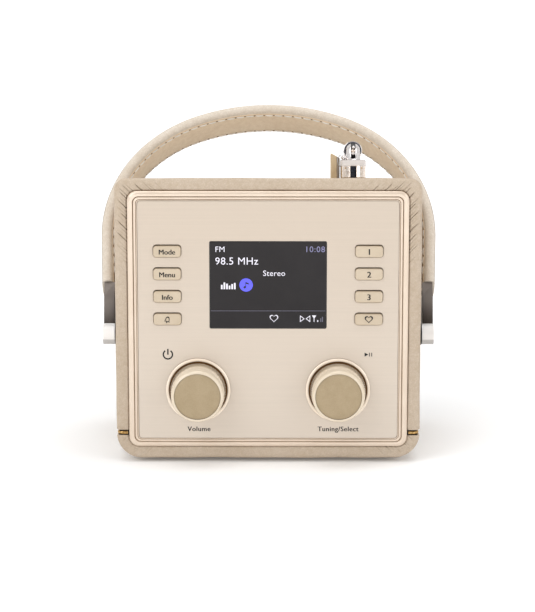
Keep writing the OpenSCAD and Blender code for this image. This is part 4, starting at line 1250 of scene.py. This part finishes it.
# painted highlight: a white lump at the tongue's lower end stands in for its glint
aerial("tongue_end_glint", ball(0, -2.95, HINGE_Z - 1.65, 1.0, 0.6, 0.7), COLLAR_WHITE, "antenna_rod")
for name, node, body in (("outer_tube", "antenna_tube_1", "antenna_rod"),
                         ("middle_tube", "antenna_tube_2", "antenna_tube_2"),
                         ("inner_tube", "antenna_tube_3", "antenna_tube_3")):
    softened("aerial_" + name, node, CHROME, body, 0.1)
softened("aerial_tip", "antenna_tip_rod", CHROME, "antenna_tip", 0.5, 3)


# ------------------------------------------------------------------- back

softened("back_cover", "back_panel", BACK, "case", 0.3)
softened("battery_lid", "battery_door", BACK, "battery_door", 0.3)
softened("back_screws", "case_screws", STEEL, "case", 0.2)
softened("base_foot_pad", "base_pad", RUBBER, "case", 0.4, 3)

PLAIN = {
    PANEL: ["front_panel"], SHELL: ["cabinet_shell"], BLACK: ["headphone_socket", "display_module"],
    BOARD: ["front_circuit_board", "main_circuit_board"], GRILLE: ["speaker_grille"],
    PAPER: ["speaker_cone"], CELL: ["battery_cells"], BRASS: ["volume_rotor", "tuning_rotor"],
    STEEL: ["tact_switches", "volume_encoder", "tuning_encoder", "speaker_basket",
            "speaker_magnet", "battery_contacts", "power_socket", "handle_core",
            "volume_shaft", "tuning_shaft"]}
for material, names in PLAIN.items():
    for name in names:
        mesh = frame["nodes"][name].data
        mesh.materials.clear()
        mesh.materials.append(material)


# ------------------------------------------------------ floor, light, camera

def floor():
    """Pale paper that glows a little more away from the radio, so that it fades to white."""
    look = Look("floor_paper", roughness=0.75, Specular_IOR_Level=0.2, Emission_Strength=0.4)
    away = look.node("ShaderNodeVectorMath", {0: look.place}, operation="LENGTH").outputs["Value"]
    look.tree.links.new(look.mix((0.2, 0.2, 0.2, 1), (1, 1, 1, 1), look.ramp(away, 0.1, 0.7)),
                        look.shader.inputs["Emission Color"])
    look.paint(look.mix(linear((240, 240, 240)), linear((246, 246, 246)), look.noise(3, 2)))
    half = 12000
    corners = [(-half, -half, 0), (half, -half, 0), (half, half, 0), (-half, half, 0)]
    obj = linked("floor", mesh_from(corners, [(0, 1, 2, 3)]))
    obj.data.materials.append(look.done())
    obj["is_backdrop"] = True


def area_light(name, place, target, size, power):
    light = bpy.data.lights.new(name, "AREA")
    light.shape, light.size, light.size_y = "RECTANGLE", size[0], size[1]
    light.energy = power
    obj = linked(name, light)
    obj.location = place
    obj.rotation_euler = (Vector(target) - Vector(place)).to_track_quat("-Z", "Y").to_euler()


def studio():
    """White room that is darker behind the camera, and four soft lights."""
    world = bpy.data.worlds.new("studio")
    world.use_nodes = True
    bpy.context.scene.world = world
    tree = world.node_tree
    background = tree.nodes["Background"]
    coords = tree.nodes.new("ShaderNodeTexCoord")
    parts = tree.nodes.new("ShaderNodeSeparateXYZ")
    ramp = tree.nodes.new("ShaderNodeMapRange")
    tint = tree.nodes.new("ShaderNodeMix")
    tint.data_type = "RGBA"
    tree.links.new(coords.outputs["Generated"], parts.inputs["Vector"])
    tree.links.new(parts.outputs["Y"], ramp.inputs["Value"])
    ramp.inputs["From Min"].default_value, ramp.inputs["From Max"].default_value = -0.8, -0.2
    tree.links.new(ramp.outputs["Result"], tint.inputs[0])
    tint.inputs[6].default_value = (0.47, 0.47, 0.48, 1)
    tint.inputs[7].default_value = (1, 1, 1, 1)
    tree.links.new(tint.outputs[2], background.inputs["Color"])
    background.inputs["Strength"].default_value = 0.9
    middle = (0, 0, 0.08)
    area_light("key", (-0.8, -0.95, 0.8), middle, (0.9, 0.9), 6)
    area_light("top", (0.05, -0.05, 1.25), middle, (1.3, 0.5), 5)
    area_light("low", (0.15, -1.2, 0.14), middle, (1.6, 0.25), 1.5)
    area_light("fill", (1.1, -0.9, 0.6), middle, (0.7, 0.7), 3)


def camera():
    """The camera faces the front squarely, from a little above."""
    pitch, yaw, distance = math.radians(10.95), math.radians(-0.2), 1148.5
    look = Vector((math.sin(yaw) * math.cos(pitch), math.cos(yaw) * math.cos(pitch),
                   -math.sin(pitch)))
    aim = Vector((-0.3, FRONT_Y, 80.5))
    data = bpy.data.cameras.new("camera")
    data.sensor_fit, data.sensor_width, data.lens = "HORIZONTAL", 36, 154.7
    data.clip_end = 100
    obj = linked("camera", data)
    obj.location = (aim - look * distance) * MM
    obj.rotation_euler = look.to_track_quat("-Z", "Y").to_euler()
    bpy.context.scene.camera = obj


floor()
studio()
camera()
bpy.context.scene.view_settings.view_transform = "Standard"

low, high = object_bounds()
